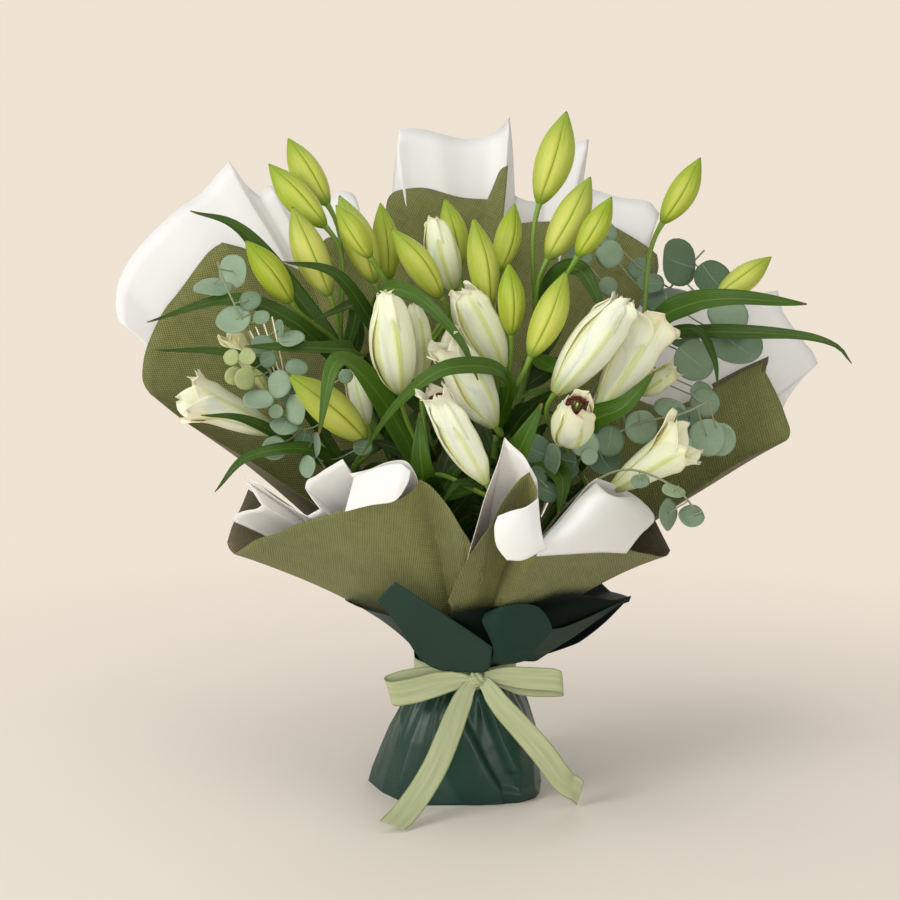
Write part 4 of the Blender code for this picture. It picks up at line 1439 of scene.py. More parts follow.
STEMS = (
    LilyStem(
        "lily_stem_left_back", 165, (-108, 16, 430),
        ("lily_bud_01", "lily_bud_02", "lily_bud_03", "lily_bud_04"),
        (
            Leaf(((-104, 16, 420), (-150, 22, 480), (-205, 10, 548), (-252, 0, 566)), 20, 0.45),
            Leaf(((-104, 14, 410), (-150, -30, 462), (-208, -46, 486), (-286, -58, 465)), 17, 0.40),
            Leaf(((-98, 10, 424), (-92, -40, 438), (-133, -76, 444), (-192, -90, 446)), 18, 0.35),
            Leaf(((-106, 10, 428), (-95, -10, 476), (-113, -40, 474), (-134, -52, 465)), 14, 0.2),
        ),
    ),
    LilyStem(
        "lily_stem_left_front", 212, (-98, -44, 318),
        ("lily_bud_19", "open_lily_04"),
        (
            Leaf(((-94, -42, 312), (-130, -100, 352), (-186, -122, 350), (-217, -128, 318)), 15, 0.4),
            Leaf(((-96, -43, 314), (-150, -62, 398), (-200, -70, 436), (-278, -84, 442)), 13, 0.3),
            Leaf(((-94, -44, 314), (-157, -80, 360), (-196, -98, 381), (-231, -108, 385)), 14, 0.35),
        ),
        small_heads=(SMALL_LEFT, SMALL_FAR_LEFT),
    ),
    LilyStem(
        "lily_stem_back", 110, (-36, 26, 410),
        ("lily_bud_05", "lily_bud_06", "lily_bud_07", "lily_bud_08", "cream_lily_01", "lily_bud_09"),
        (
            Leaf(((-36, 24, 402), (-72, -14, 452), (-110, -42, 508), (-160, -56, 521)), 18, 0.3),
            Leaf(
                ((-38, 24, 404), (-72, -40, 488), (-38, -96, 494), (2, -126, 458), (20, -132, 420)),
                19, 0.6,
            ),
        ),
    ),
    LilyStem(
        "lily_stem_front", 262, (-22, -64, 318),
        ("cream_lily_02", "cream_lily_03", "cream_lily_04"),
        (
            Leaf(((-24, -64, 312), (-66, -100, 400), (-104, -150, 440), (-120, -164, 376)), 26, 0.7),
            Leaf(((-22, -66, 300), (-27, -128, 322), (-31, -148, 352), (-32, -142, 392)), 26, 0.55),
            Leaf(((-20, -66, 300), (20, -104, 318), (2, -128, 326), (-12, -142, 310)), 14, 0.3),
        ),
    ),
    LilyStem(
        "lily_stem_centre", 312, (40, -34, 360),
        ("lily_bud_10", "lily_bud_11", "lily_bud_12", "lily_bud_16", "cream_lily_05", "cream_lily_06"),
        (
            Leaf(((40, -40, 318), (44, -108, 328), (56, -146, 360), (76, -154, 402)), 34, 0.55),
            Leaf(
                ((38, -38, 356), (46, -108, 422), (-8, -160, 434), (-52, -146, 400), (-84, -120, 352)),
                17, 0.55,
            ),
            Leaf(((42, -40, 352), (77, -96, 344), (96, -128, 330), (92, -146, 300)), 26, 0.35),
            Leaf(((42, -36, 356), (91, -60, 397), (74, -70, 401), (52, -80, 394)), 10, 0.8),
        ),
    ),
    LilyStem(
        "lily_stem_right_back", 58, (76, 22, 440),
        ("lily_bud_13", "lily_bud_14", "lily_bud_15"),
        (
            Leaf(((78, 20, 430), (96, 0, 500), (118, -30, 512), (142, -48, 466)), 25, 0.4),
            Leaf(((78, 18, 426), (97, -60, 423), (112, -72, 442), (124, -80, 456)), 22, 0.85),
        ),
    ),
    LilyStem(
        "lily_stem_right", 8, (112, -34, 318),
        ("open_lily_01", "open_lily_02", "open_lily_03", "open_lily_05"),
        (
            Leaf(((178, 8, 448), (210, -20, 476), (250, -52, 488), (325, -60, 482)), 25, 0.5),
            Leaf(
                ((176, 6, 440), (230, -10, 452), (310, -56, 454), (348, -76, 446), (362, -88, 430)),
                15, 0.4,
            ),
            Leaf(((114, -36, 322), (122, -84, 374), (152, -108, 394), (180, -104, 424)), 30, 0.55),
            Leaf(((180, 4, 444), (226, -20, 456), (242, -44, 432), (245, -58, 404)), 10, 0.3),
        ),
        fork=(178, 10, 440),
        fork_heads=("lily_bud_17", "lily_bud_18"),
        small_heads=(SMALL_RIGHT,),
    ),
)


# ---------------------------------------------------------------- eucalyptus


@dataclass(frozen=True)
class GumSprig:
    """A eucalyptus sprig: its twig and round leaves (x, y, z, half width, half height, tone)."""

    SLIMMEST = 0.28  # narrowest that a leaf is turned to look, as a share of its length
    SQUARE_ON = 0.88  # how wide it looks when it is not turned at all
    OVAL = 0.94
    DENT = (0.07, 0.5)  # depth and width of the dent at the base
    CUP = 0.16
    FOLD = 0.08
    WAVE = 0.05
    SAG = 0.06

    node: str
    azimuth: float
    twig: tuple[Point, ...]
    leaves: tuple[tuple[float, ...], ...]
    sticks: tuple[Point, ...] = ()
    rings: int = 6
    sides: int = 22

    def facing(self, wide: float, tall: float, rng: np.random.Generator) -> Array:
        """The way a round leaf faces.

        Args:
            wide: Half the width that it shows from the front.
            tall: Half the height that it shows.
            rng: Source of its own unevenness.

        Returns:
            Its direction, with length one.
        """
        slim = min(wide, tall) / max(wide, tall) / self.SQUARE_ON
        slim = min(max(slim, self.SLIMMEST), 1.0)
        lean = math.sqrt(1 - slim**2)
        if wide >= tall:
            return unit(np.array((rng.uniform(-0.15, 0.15), -slim, lean + rng.uniform(0, 0.12))))
        return unit(np.array((lean * rng.choice((-1, 1)), -slim, rng.uniform(0.0, 0.2))))

    def leaf(self, patch: Patchwork, spec: tuple[float, ...], root: Array, rng: np.random.Generator) -> None:
        """Adds one cupped round leaf.

        Args:
            patch: Where it goes.
            spec: Its row of the table.
            root: Where its stalk leaves the twig.
            rng: Source of its own unevenness.
        """
        *middle, wide, tall, tone = spec
        centre = np.array(middle)
        facing = self.facing(wide, tall, rng)
        reach = centre - root
        down = unit(reach - facing * (reach @ facing))
        side = np.cross(down, facing)
        ring = np.linspace(0, 1, self.rings)[:, None]
        turn = around(self.sides)
        depth, width = self.DENT
        a = ring * np.cos(turn) * (1 - depth * np.exp(-(((turn - math.pi) / width) ** 2)))
        b = ring * np.sin(turn) * self.OVAL
        cup = self.CUP * (a**2 + b**2) - self.FOLD * np.abs(b)
        cup = cup + self.WAVE * ring**2 * np.sin(3 * turn + rng.uniform(0, 6))
        cup = cup * rng.choice((-1.0, 1.0, 1.0))
        shape = a[..., None] * down + b[..., None] * side + cup[..., None] * facing
        uv = np.dstack([0.5 + 0.5 * b, 0.5 + 0.5 * a])
        patch.grid(centre + max(wide, tall) * shape, np.hstack([uv, uv[:, :1]]), tone)

    def build(self) -> None:
        """Builds the twigs and the leaves as two pieces."""
        rng = np.random.default_rng(sum(map(ord, self.node)))
        twigs, leaves = Patchwork(), Patchwork()
        below = stem_line(self.azimuth, TWIG_BUNDLE_RADIUS, self.twig[0])
        line = np.vstack([below[:-4], smooth_path([below[-4], *self.twig], 40)])
        twigs.tube(line, TWIG_RADIUS * np.linspace(1, 0.45, len(line)), 9, 0.4)
        above = line[line[:, 2] > TWIG_LEAVES_FROM]
        for spec in self.leaves:
            centre = np.array(spec[:3])
            root = above[np.linalg.norm(above - centre, axis=1).argmin()]
            away = unit(centre - root)
            edge = centre - away * max(spec[3:5]) * 0.9
            sag = (root + edge) / 2 - UP * self.SAG * np.linalg.norm(edge - root)
            twigs.tube(smooth_path([root, sag, edge, centre - away * 2], 9), STALK_RADIUS, 6, 0.6)
            self.leaf(leaves, spec, root, rng)
        for tip in self.sticks:
            twigs.tube(np.linspace(above[len(above) // 2], np.array(tip, float), 5), STICK_RADIUS, 6, 1.0, 1)
        place(twigs.to_object(self.node + "_twigs", [TWIG_SKIN, DRY_TWIG]), Slot.EUCALYPTUS, self.node)
        made = leaves.to_object(self.node + "_leaves", [GUM_SKIN], DISC_THICKNESS)
        place(made, Slot.EUCALYPTUS, self.node)


SPRIGS = (
    GumSprig(
        "eucalyptus_left", 188,
        ((-70, -20, 250), (-122, -66, 330), (-160, -76, 400), (-206, -56, 484), (-222, -40, 520)),
        (
            (-208, -30, 510, 13, 17, 0.6), (-227, -34, 498, 20, 7, 0.5), (-205, -60, 467, 17, 11, 0.6),
            (-179, -66, 470, 8, 6, 0.4), (-162, -70, 460, 5, 9, 0.4), (-151, -76, 451, 13, 6, 0.5),
            (-204, -92, 436, 8, 7, 1), (-189, -96, 437, 8, 7, 0.95), (-171, -92, 434, 8, 7, 0.2),
            (-145, -90, 427, 11, 7, 0.4), (-201, -100, 420, 7, 9, 1), (-190, -104, 418, 8, 11, 1),
            (-161, -104, 413, 10, 14, 0.5), (-179, -104, 398, 15, 7, 0.55), (-163, -104, 388, 6, 7, 0.5),
            (-144, -106, 390, 9, 15, 0.65), (-155, -104, 376, 15, 5, 0.4), (-165, -104, 354, 12, 10, 0.5),
            (-139, -96, 360, 9, 7, 0.1), (-127, -100, 356, 5, 13, 0.5), (-134, -110, 338, 7, 11, 0.5),
            (-100, -96, 419, 6, 7, 0.5), (-85, -100, 354, 9, 7, 0.1), (-191, -50, 485, 11, 8, 0.3),
            (-115, -96, 379, 10, 8, 0.15), (-177, -80, 446, 11, 8, 0.3), (-151, -90, 401, 11, 9, 0.2),
        ),
        sticks=((-184, -70, 462), (-176, -74, 465), (-168, -78, 472), (-190, -66, 458)),
    ),
    GumSprig(
        "eucalyptus_right_high", 33,
        ((70, 10, 260), (130, 34, 380), (180, 50, 450), (222, 58, 500), (246, 60, 526)),
        (
            (217, 40, 515, 17, 25, 0.2), (251, 36, 500, 19, 15, 0.1), (206, 30, 481, 28, 10, 0.1),
            (192, 44, 494, 14, 9, 0.3), (264, 14, 467, 21, 16, 0.75), (272, 10, 437, 26, 17, 0.3),
            (230, 4, 423, 21, 19, 0.4), (221, 20, 442, 17, 8, 0.1), (238, 0, 392, 12, 9, 0.6),
            (240, -6, 383, 15, 14, 0.6), (152, 60, 522, 12, 15, 0.7), (151, 50, 491, 9, 10, 0.5),
            (148, 66, 541, 12, 14, 0.6), (123, 60, 518, 14, 8, 0.3), (183, 62, 508, 13, 10, 0.3),
        ),
    ),
    GumSprig(
        "eucalyptus_right_low", 338,
        ((70, -40, 250), (112, -80, 336), (160, -92, 372), (206, -94, 384), (232, -92, 396)),
        (
            (200, -60, 386, 16, 8, 0.5), (170, -92, 372, 15, 16, 0.5), (205, -78, 372, 9, 17, 0.25),
            (234, -70, 359, 18, 17, 0.55), (247, -62, 356, 14, 16, 0.65), (118, -112, 360, 14, 11, 0.7),
            (121, -120, 349, 8, 7, 0.7), (141, -96, 360, 15, 13, 0.3), (136, -90, 341, 17, 11, 0.15),
            (207, -84, 352, 12, 13, 0.6), (97, -100, 343, 13, 16, 0.15), (72, -96, 351, 16, 16, 0.2),
            (86, -112, 345, 6, 16, 0.4), (101, -96, 334, 13, 9, 0.15), (154, -70, 389, 12, 7, 0.3),
            (186, -70, 356, 13, 11, 0.2), (220, -50, 374, 11, 9, 0.3),
        ),
    ),
    GumSprig(
        "eucalyptus_front", 287,
        ((48, -60, 210), (98, -116, 300), (146, -142, 340), (190, -158, 330), (214, -166, 306)),
        (
            (186, -168, 305, 8, 15, 0.4), (208, -166, 303, 12, 8, 0.35), (193, -156, 323, 11, 4, 0.85),
            (164, -150, 331, 9, 5, 0.4), (73, -120, 330, 9, 11, 0.15), (84, -122, 317, 11, 9, 0.15),
        ),
    ),
)


# ---------------------------------------------------------------- papers


@dataclass(frozen=True)
class PaperSheet:
    """A sheet that stands in the neck and opens like part of a trumpet to its rim.

    Every point of the rim leaves the neck at its own azimuth, so that nested sheets stay nested.
    """

    node: str
    layer: int
    flare: float  # how far the sheet bulges inwards on its way up, in millimetres
    ripple: float  # height of its bumps, in millimetres
    rim: tuple[tuple[Point, ...], ...]
    face: Finish
    back: Finish
    slot: Slot
    bump_size: float = 70.0
    rows: int = 34
    columns: int = 170

    def surface(self) -> tuple[Array, Array]:
        """The points of the sheet and its flat pattern.

        Returns:
            Rows by columns by 3 in millimetres, and rows by columns by 2 in metres.
        """
        radius = SHEET_NECK_RADIUS + SHEET_NECK_STEP * self.layer
        rim = cornered_path(self.rim, self.columns)
        azimuth = np.arctan2(rim[:, 1], rim[:, 0] - NECK[0])
        ring = np.stack([NECK[0] + radius * np.cos(azimuth), radius * np.sin(azimuth)], axis=1)
        low = np.column_stack([ring, np.full(self.columns, SHEET_FOOT)])
        high = np.column_stack([ring, np.full(self.columns, SHEET_BEND)])
        span = rim - high
        out = unit(span * FLAT)
        fall = np.linalg.norm(span * FLAT, axis=1)[:, None]
        inward = unit(UP * fall - out * span[:, 2:])
        v = np.linspace(0, 1, self.rows)[:, None, None]
        sheet = high + span * v + inward * self.flare * 4 * v * (1 - v)
        bumps = Wobble(self.layer // 2 + 3, self.bump_size).at(sheet)[..., None]
        sheet = np.concatenate([low[None], sheet - inward * bumps * self.ripple * v**1.5])
        return sheet, self.flattened(sheet)

    @staticmethod
    def flattened(sheet: Array) -> Array:
        """The flat pattern of a fan of straight lines.

        Args:
            sheet: Rows by columns by 3, in millimetres.

        Returns:
            Rows by columns by 2, in metres.
        """
        lines = unit(sheet[-1] - sheet[1])
        angle = so_far(np.arccos(np.clip((lines[1:] * lines[:-1]).sum(axis=1), -1, 1)))
        steps = step_lengths(sheet)
        neck = step_lengths(sheet[1]).sum()
        reach = np.vstack([np.zeros(sheet.shape[1]), np.cumsum(steps, axis=0)]) + neck / angle[-1]
        return np.dstack([reach * np.sin(angle), reach * np.cos(angle)]) * MM

    def build(self) -> None:
        """Builds the sheet over its CAD node."""
        points, uv = self.surface()
        patch = Patchwork()
        patch.grid(points, uv)
        made = patch.to_object(self.node + "_sheet", [self.face, self.back], SHEET_THICKNESS)
        place(made, self.slot, self.node)
        width, height = map(float, np.ptp(uv.reshape(-1, 2), axis=0))
        declare_sheet(made, points, (width, height), area_of(uv))


def olive(node: str, layer: int, flare: float, ripple: float, *rim: tuple[Point, ...]) -> PaperSheet:
    """An olive sheet. Its face is turned to the front in the back sheets and outwards in the front ones."""
    face, back = (OLIVE_FACE, OLIVE_BACK) if "front" in node else (OLIVE_BACK, OLIVE_FACE)
    return PaperSheet(node, layer, flare, ripple, rim, face, back, Slot.OLIVE)


def white(node: str, layer: int, flare: float, ripple: float, *rim: tuple[Point, ...]) -> PaperSheet:
    """A white sheet, the same on both sides."""
    return PaperSheet(node, layer, flare, ripple, rim, WHITE_PAPER, WHITE_PAPER, Slot.WHITE)


SHEETS = (
    olive(
        "wrap_back_centre_olive", 0, 10, 2.2,
        ((188, 146, 460), (203, 150, 483), (211, 153, 501), (210, 156, 517)),
        ((199, 158, 526), (167, 162, 545), (151, 163, 550), (110, 165, 551), (82, 166, 551)),
        ((64, 166, 550), (50, 166, 556)),
        ((51, 168, 582), (55, 168, 609)),
        ((47, 172, 604), (40, 174, 588), (34, 174, 574)),
        (
            (5, 170, 576), (-26, 167, 584), (-41, 164, 585), (-57, 160, 583), (-65, 157, 580),
            (-70, 154, 573), (-72, 150, 561),
        ),
        ((-74, 146, 547), (-77, 142, 532)),
        ((-106, 134, 533), (-131, 124, 535), (-141, 116, 517), (-146, 108, 476)),
    ),
    white(
        "wrap_back_centre_white", 1, 10, 5,
        ((205, 170, 469), (203, 174, 500), (206, 180, 536), (215, 188, 559)),
        ((206, 191, 570), (195, 192, 573), (174, 193, 575), (153, 195, 581), (136, 196, 585)),
        ((139, 196, 609), (142, 197, 635)),
        ((130, 198, 632), (116, 199, 622), (103, 200, 602), (96, 200, 583), (85, 200, 571)),
        ((74, 199, 573), (63, 198, 578)),
        ((61, 198, 625), (58, 199, 658)),
        (
            (55, 202, 654), (48, 208, 647), (37, 210, 640), (21, 206, 637), (6, 202, 637), (-15, 196, 641),
            (-36, 195, 645), (-52, 191, 645), (-60, 186, 643),
        ),
        ((-62, 178, 624), (-66, 172, 583), (-70, 156, 532), (-72, 144, 490)),
    ),
    olive(
        "wrap_back_left_olive", 2, 14, 4,
        (
            (-72, 128, 455), (-107, 124, 474), (-138, 118, 491), (-168, 115, 505), (-208, 110, 522),
            (-236, 104, 531),
        ),
        (
            (-252, 100, 519), (-276, 86, 485), (-290, 74, 466), (-301, 58, 442), (-306, 42, 424),
            (-306, 24, 406), (-302, 12, 397), (-295, 2, 390),
        ),
        ((-253, -24, 364), (-201, -47, 337), (-156, -67, 311), (-127, -78, 295)),
    ),
    white(
        "wrap_back_left_white", 3, 14, 5,
        ((-65, 158, 470), (-84, 164, 522), (-99, 168, 559)),
        (
            (-103, 169, 573), (-109, 170, 580), (-121, 169, 581), (-132, 167, 571), (-148, 166, 567),
            (-161, 164, 567), (-177, 163, 577), (-189, 162, 590),
        ),
        ((-195, 160, 585), (-200, 158, 579)),
        ((-212, 157, 590), (-221, 156, 602), (-230, 154, 614)),
        (
            (-239, 149, 604), (-256, 141, 584), (-281, 130, 566), (-310, 116, 539), (-328, 100, 516),
            (-337, 86, 495), (-338, 76, 483), (-337, 64, 468), (-333, 56, 456),
        ),
    ),
    olive(
        "wrap_right_olive", 4, 12, 3,
        ((190, -74, 285), (206, -68, 293), (230, -58, 307), (271, -38, 329), (313, -12, 345)),
        ((321, -4, 348), (325, 6, 355), (323, 20, 367), (318, 36, 384), (308, 50, 406)),
        ((311, 58, 418),),
        ((287, 60, 405), (262, 60, 389), (231, 64, 373), (206, 70, 369), (190, 86, 372), (170, 108, 380)),
    ),
    white(
        "wrap_right_white", 5, 12, 3,
        ((326, 60, 368), (334, 74, 379), (349, 84, 396), (368, 94, 411)),
        ((363, 102, 423), (357, 108, 430)),
        ((350, 113, 440), (342, 117, 451), (335, 120, 462)),
        ((331, 124, 482),),
        ((309, 131, 477), (289, 136, 473), (266, 143, 473), (254, 147, 475), (246, 152, 482)),
        ((234, 156, 462), (222, 158, 439)),
    ),
    white(
        "wrap_front_left_white", 6, 12, 1.5,
        (
            (-215, -22, 270), (-214, -26, 275), (-208, -34, 280), (-199, -45, 285), (-187, -61, 290),
            (-180, -72, 296),
        ),
        ((-187, -66, 305), (-193, -62, 313), (-199, -58, 318)),
        (
            (-189, -75, 320), (-181, -84, 318), (-174, -92, 314), (-161, -103, 307), (-146, -112, 300),
            (-134, -120, 295),
        ),
        ((-122, -128, 303),),
        ((-130, -121, 312), (-136, -116, 320)),
        ((-134, -118, 327), (-126, -123, 332), (-117, -131, 339), (-101, -144, 350)),
        ((-94, -150, 338),),
        (
            (-76, -161, 344), (-62, -168, 351), (-50, -171, 354), (-43, -172, 353), (-38, -172, 347),
            (-34, -171, 338), (-32, -168, 328), (-29, -162, 318),
        ),
    ),
    olive(
        "wrap_front_left_olive", 7, 12, 1.5,
        ((-206, 36, 290), (-210, 14, 278), (-217, -6, 262), (-221, -18, 248)),
        ((-219, -20, 242), (-214, -22, 237)),
        (
            (-202, -47, 248), (-187, -67, 261), (-164, -96, 274), (-142, -116, 287), (-112, -142, 300),
            (-84, -163, 313), (-56, -177, 319), (-47, -180, 322), (-38, -182, 329), (-31, -184, 339),
        ),
        ((-21, -183, 332), (-7, -179, 314), (4, -171, 294), (14, -153, 274), (26, -128, 237)),
    ),
    white(
        "wrap_front_right_white", 8, 12, 1.5,
        (
            (8, -154, 250), (13, -165, 273), (20, -176, 302), (26, -180, 325), (37, -187, 357),
            (42, -190, 377),
        ),
        ((48, -191, 371), (58, -191, 362), (64, -192, 352), (70, -189, 340), (71, -188, 325)),
        ((74, -187, 287),),
        ((91, -176, 302), (107, -162, 317), (119, -151, 328), (127, -144, 332)),
        ((139, -132, 326), (154, -115, 317), (170, -98, 305), (181, -82, 292), (186, -74, 284)),
    ),
    olive(
        "wrap_front_right_olive", 9, 12, 1.5,
        (
            (-7, -124, 215), (0, -148, 239), (7, -167, 257), (21, -186, 286), (31, -192, 302),
            (38, -197, 319), (47, -199, 333), (55, -200, 343), (63, -201, 349),
        ),
        ((67, -200, 340), (70, -199, 331), (68, -199, 320)),
        ((68, -200, 298), (78, -194, 278)),
        ((91, -185, 277), (119, -160, 272), (152, -127, 265), (170, -107, 257), (193, -67, 244)),
        ((201, -51, 242), (208, -20, 241)),
        ((200, 0, 257), (195, 24, 268)),
    ),
)


@dataclass(frozen=True)
class Crease:
    """A fold across the front of the base wrap, between two points of x and z.

    The paper stands highest along the fold. It falls gently on the right of the way from start to
    end, over the width, and steeply on the left, over the edge.
    """

    start: Pair
    end: Pair
    height: float
    width: float
    edge: float

    def lift(self, points: Array) -> Array:
        """How far the fold lifts the wrap.

        Args:
            points: x and z of each point, along the last axis.

        Returns:
            Its height at each point.
        """
        start = np.array(self.start)
        way = np.array(self.end) - start
        away = points - start
        share = np.clip(away @ way / (way @ way), 0, 1)[..., None]
        distance = np.linalg.norm(away - share * way, axis=-1)
        right = way[1] * away[..., 0] - way[0] * away[..., 1] >= 0
        return self.height * np.clip(1 - distance / np.where(right, self.width, self.edge), 0, 1)


@dataclass(frozen=True)
class BaseWrap:
    """The dark green wrap: a pleated bag round the pouch that opens above the ribbon."""

    PLEAT_DEPTH = 0.9
    PLEAT_INSET = 1.6
    DENTS = (45.0, 1.2)  # size and height of the soft dents low on the bag
    COLLAR_BUMPS = (38.0, 2.2)  # size and height
    COLLAR_ARCH = 7.0  # how far the collar rises above the straight way to its rim

    node: str = "base_wrap"
    foot: tuple[Pair, ...] = (  # outline on the table
        (86, 0), (86, 30), (66, 60), (30, 68), (0, 70), (-40, 66), (-76, 40), (-87, 4), (-72, -30),
        (-52, -57), (-28, -67), (20, -67), (62, -60), (78, -46), (86, 0),
    )
    # Height and share of the way in from the foot's outline to the ribbon, on either side
    left: tuple[Pair, ...] = ((0, 0), (14, 0.08), (58, 0.45), (92, 0.82), (110, 1), (136, 1))
    right: tuple[Pair, ...] = ((0, 0), (22, 0.05), (58, 0.22), (86, 0.52), (104, 0.92), (110, 1), (136, 1))
    rim: tuple[Point, ...] = (  # azimuth in degrees, radius, height
        (0, 161, 189), (14, 150, 186), (25, 142, 197), (40, 134, 206), (60, 122, 202), (100, 104, 196),
        (145, 110, 190), (165, 116, 187), (180, 118, 187), (201, 117, 193), (212, 114, 193), (226, 111, 192),
        (238, 104, 186), (250, 90, 172), (262, 74, 156), (275, 70, 148), (292, 70, 146), (312, 82, 146),
        (328, 96, 146), (340, 116, 154), (350, 140, 172),
    )
    creases: tuple[Crease, ...] = (
        Crease((-50, 0), (-47, 100), 8.0, 36.0, 2.0),
        Crease((-54, 98), (-80, 16), 5.0, 16.0, 5.0),
        Crease((8, 78), (27, 37), 9.0, 36.0, 6.0),
        Crease((27, 37), (40, 13), 9.0, 36.0, 6.0),
        Crease((40, 13), (76, 6), 5.5, 12.0, 6.0),
        Crease((52, 34), (26, 106), 8.5, 28.0, 5.0),
    )
    flat: Pair = (0.40, 0.40)
    floor_rows: int = 6
    levels: int = 60
    collar_rows: int = 34
    columns: int = 264

    def side_rows(self) -> Array:
        """The bag, with its pleats, dents and folds.

        Returns:
            Rows of points from the table up to where it bends outwards above the ribbon.
        """
        z = np.linspace(0, SHEET_BEND + 2, self.levels)[:, None]
        turn = around(self.columns)
        outline = np.array(self.foot, float)
        angles = np.unwrap(np.arctan2(outline[:, 1], outline[:, 0]))
        foot = np.stack([np.interp(turn, angles, outline[:, i]) for i in (0, 1)], axis=1)
        inside = NECK_RADIUS - 0.4
        circle = np.stack([NECK[0] + inside * np.cos(turn), inside * np.sin(turn)], axis=1)
        left, right = (np.interp(z, *np.array(shares).T) for shares in (self.left, self.right))
        rightness = 0.5 + 0.5 * np.cos(turn)
        share = left * (1 - rightness) + right * rightness
        level = foot + (circle - foot) * share[..., None]
        rows = np.dstack([level, np.broadcast_to(z, share.shape)])
        near_neck = smoothstep(z, 30, 108)
        pleats = np.sin(17 * turn + 1.3 * np.sin(5 * turn)) + 0.7 * np.sin(29 * turn + 2 * np.sin(3 * turn))
        size, height = self.DENTS
        dents = Wobble(41, size).at(rows) * (1 - near_neck) * smoothstep(z, 0, 12) * height
        folds = np.max([crease.lift(rows[..., [0, 2]]) for crease in self.creases], axis=0)
        folds *= smoothstep(-rows[..., 1], 0, 25) * smoothstep(z, -2, 6) * (1 - smoothstep(z, 98, 112))
        lift = near_neck * (self.PLEAT_DEPTH * pleats - self.PLEAT_INSET) + dents + folds
        return rows + unit(rows * FLAT - (*NECK, 0)) * lift[..., None]

    def collar(self, base: Array) -> Array:
        """The loose upper edge.

        Args:
            base: The row of points at the bend.

        Returns:
            Rows from after the bend out to the rim.
        """
        turn = around(self.columns)
        azimuth, radius, height = np.array(self.rim, float).T
        reach, top = (np.interp(np.degrees(turn), azimuth, own, period=360) for own in (radius, height))
        rim = np.stack([NECK[0] + reach * np.cos(turn), reach * np.sin(turn), top], axis=1)
        v = np.linspace(0, 1, self.collar_rows)[1:, None, None]
        rows = base + (rim - base) * v + UP * (4 * v * (1 - v)) * self.COLLAR_ARCH
        size, bump = self.COLLAR_BUMPS
        bumps = Wobble(57, size).at(rows)[..., None]
        return rows + unit(rows * FLAT - (*NECK, 0)) * bumps * bump * v

    def build(self) -> None:
        """Builds the wrap with its bottom."""
        side = self.side_rows()
        floor = side[0] * np.linspace(0, 1, self.floor_rows, endpoint=False)[:, None, None]
        rows = np.concatenate([floor, side, self.collar(side[-1])])
        u = np.linspace(0, self.flat[0], self.columns + 1)
        v = so_far(step_lengths(rows).mean(axis=1)) * MM
        in_collar = np.arange(len(rows) - 1) >= self.floor_rows + self.levels
        patch = Patchwork()
        patch.grid(rows, uv_grid(u, v), slot=2 * in_collar[:, None])
        # The inside of the collar is painted in shade, near black.
        finishes = [SATIN_WRAP, SATIN_WRAP, PANEL_WRAP, PAINTED_SHADE_WRAP]  # bag, its inside, collar, its inside
        made = patch.to_object(self.node + "_paper", finishes, WRAP_THICKNESS, offset=-1)
        place(made, Slot.WRAP, self.node)
        declare_sheet(made, rows, self.flat)


@dataclass(frozen=True)
class PaperFlap:
    """A folded corner of paper, smooth through a small grid of points."""

    name: str
    grid: tuple[tuple[Point, ...], ...]
    face: Finish
    back: Finish
    slot: Slot
    flat: Pair
    rows: int = 24
    columns: int = 40

    def build(self) -> None:
        """Builds the flap."""
        across = np.array([smooth_path(row, self.columns) for row in self.grid])
        points = np.stack([smooth_path(across[:, i], self.rows) for i in range(self.columns)], axis=1)
        width, length = self.flat
        patch = Patchwork()
        patch.grid(points, uv_grid(np.linspace(0, length, self.columns), np.linspace(0, width, self.rows)))
        made = patch.to_object(self.name, [self.face, self.back], SHEET_THICKNESS)
        place(made, self.slot)
        declare_sheet(made, points, self.flat)


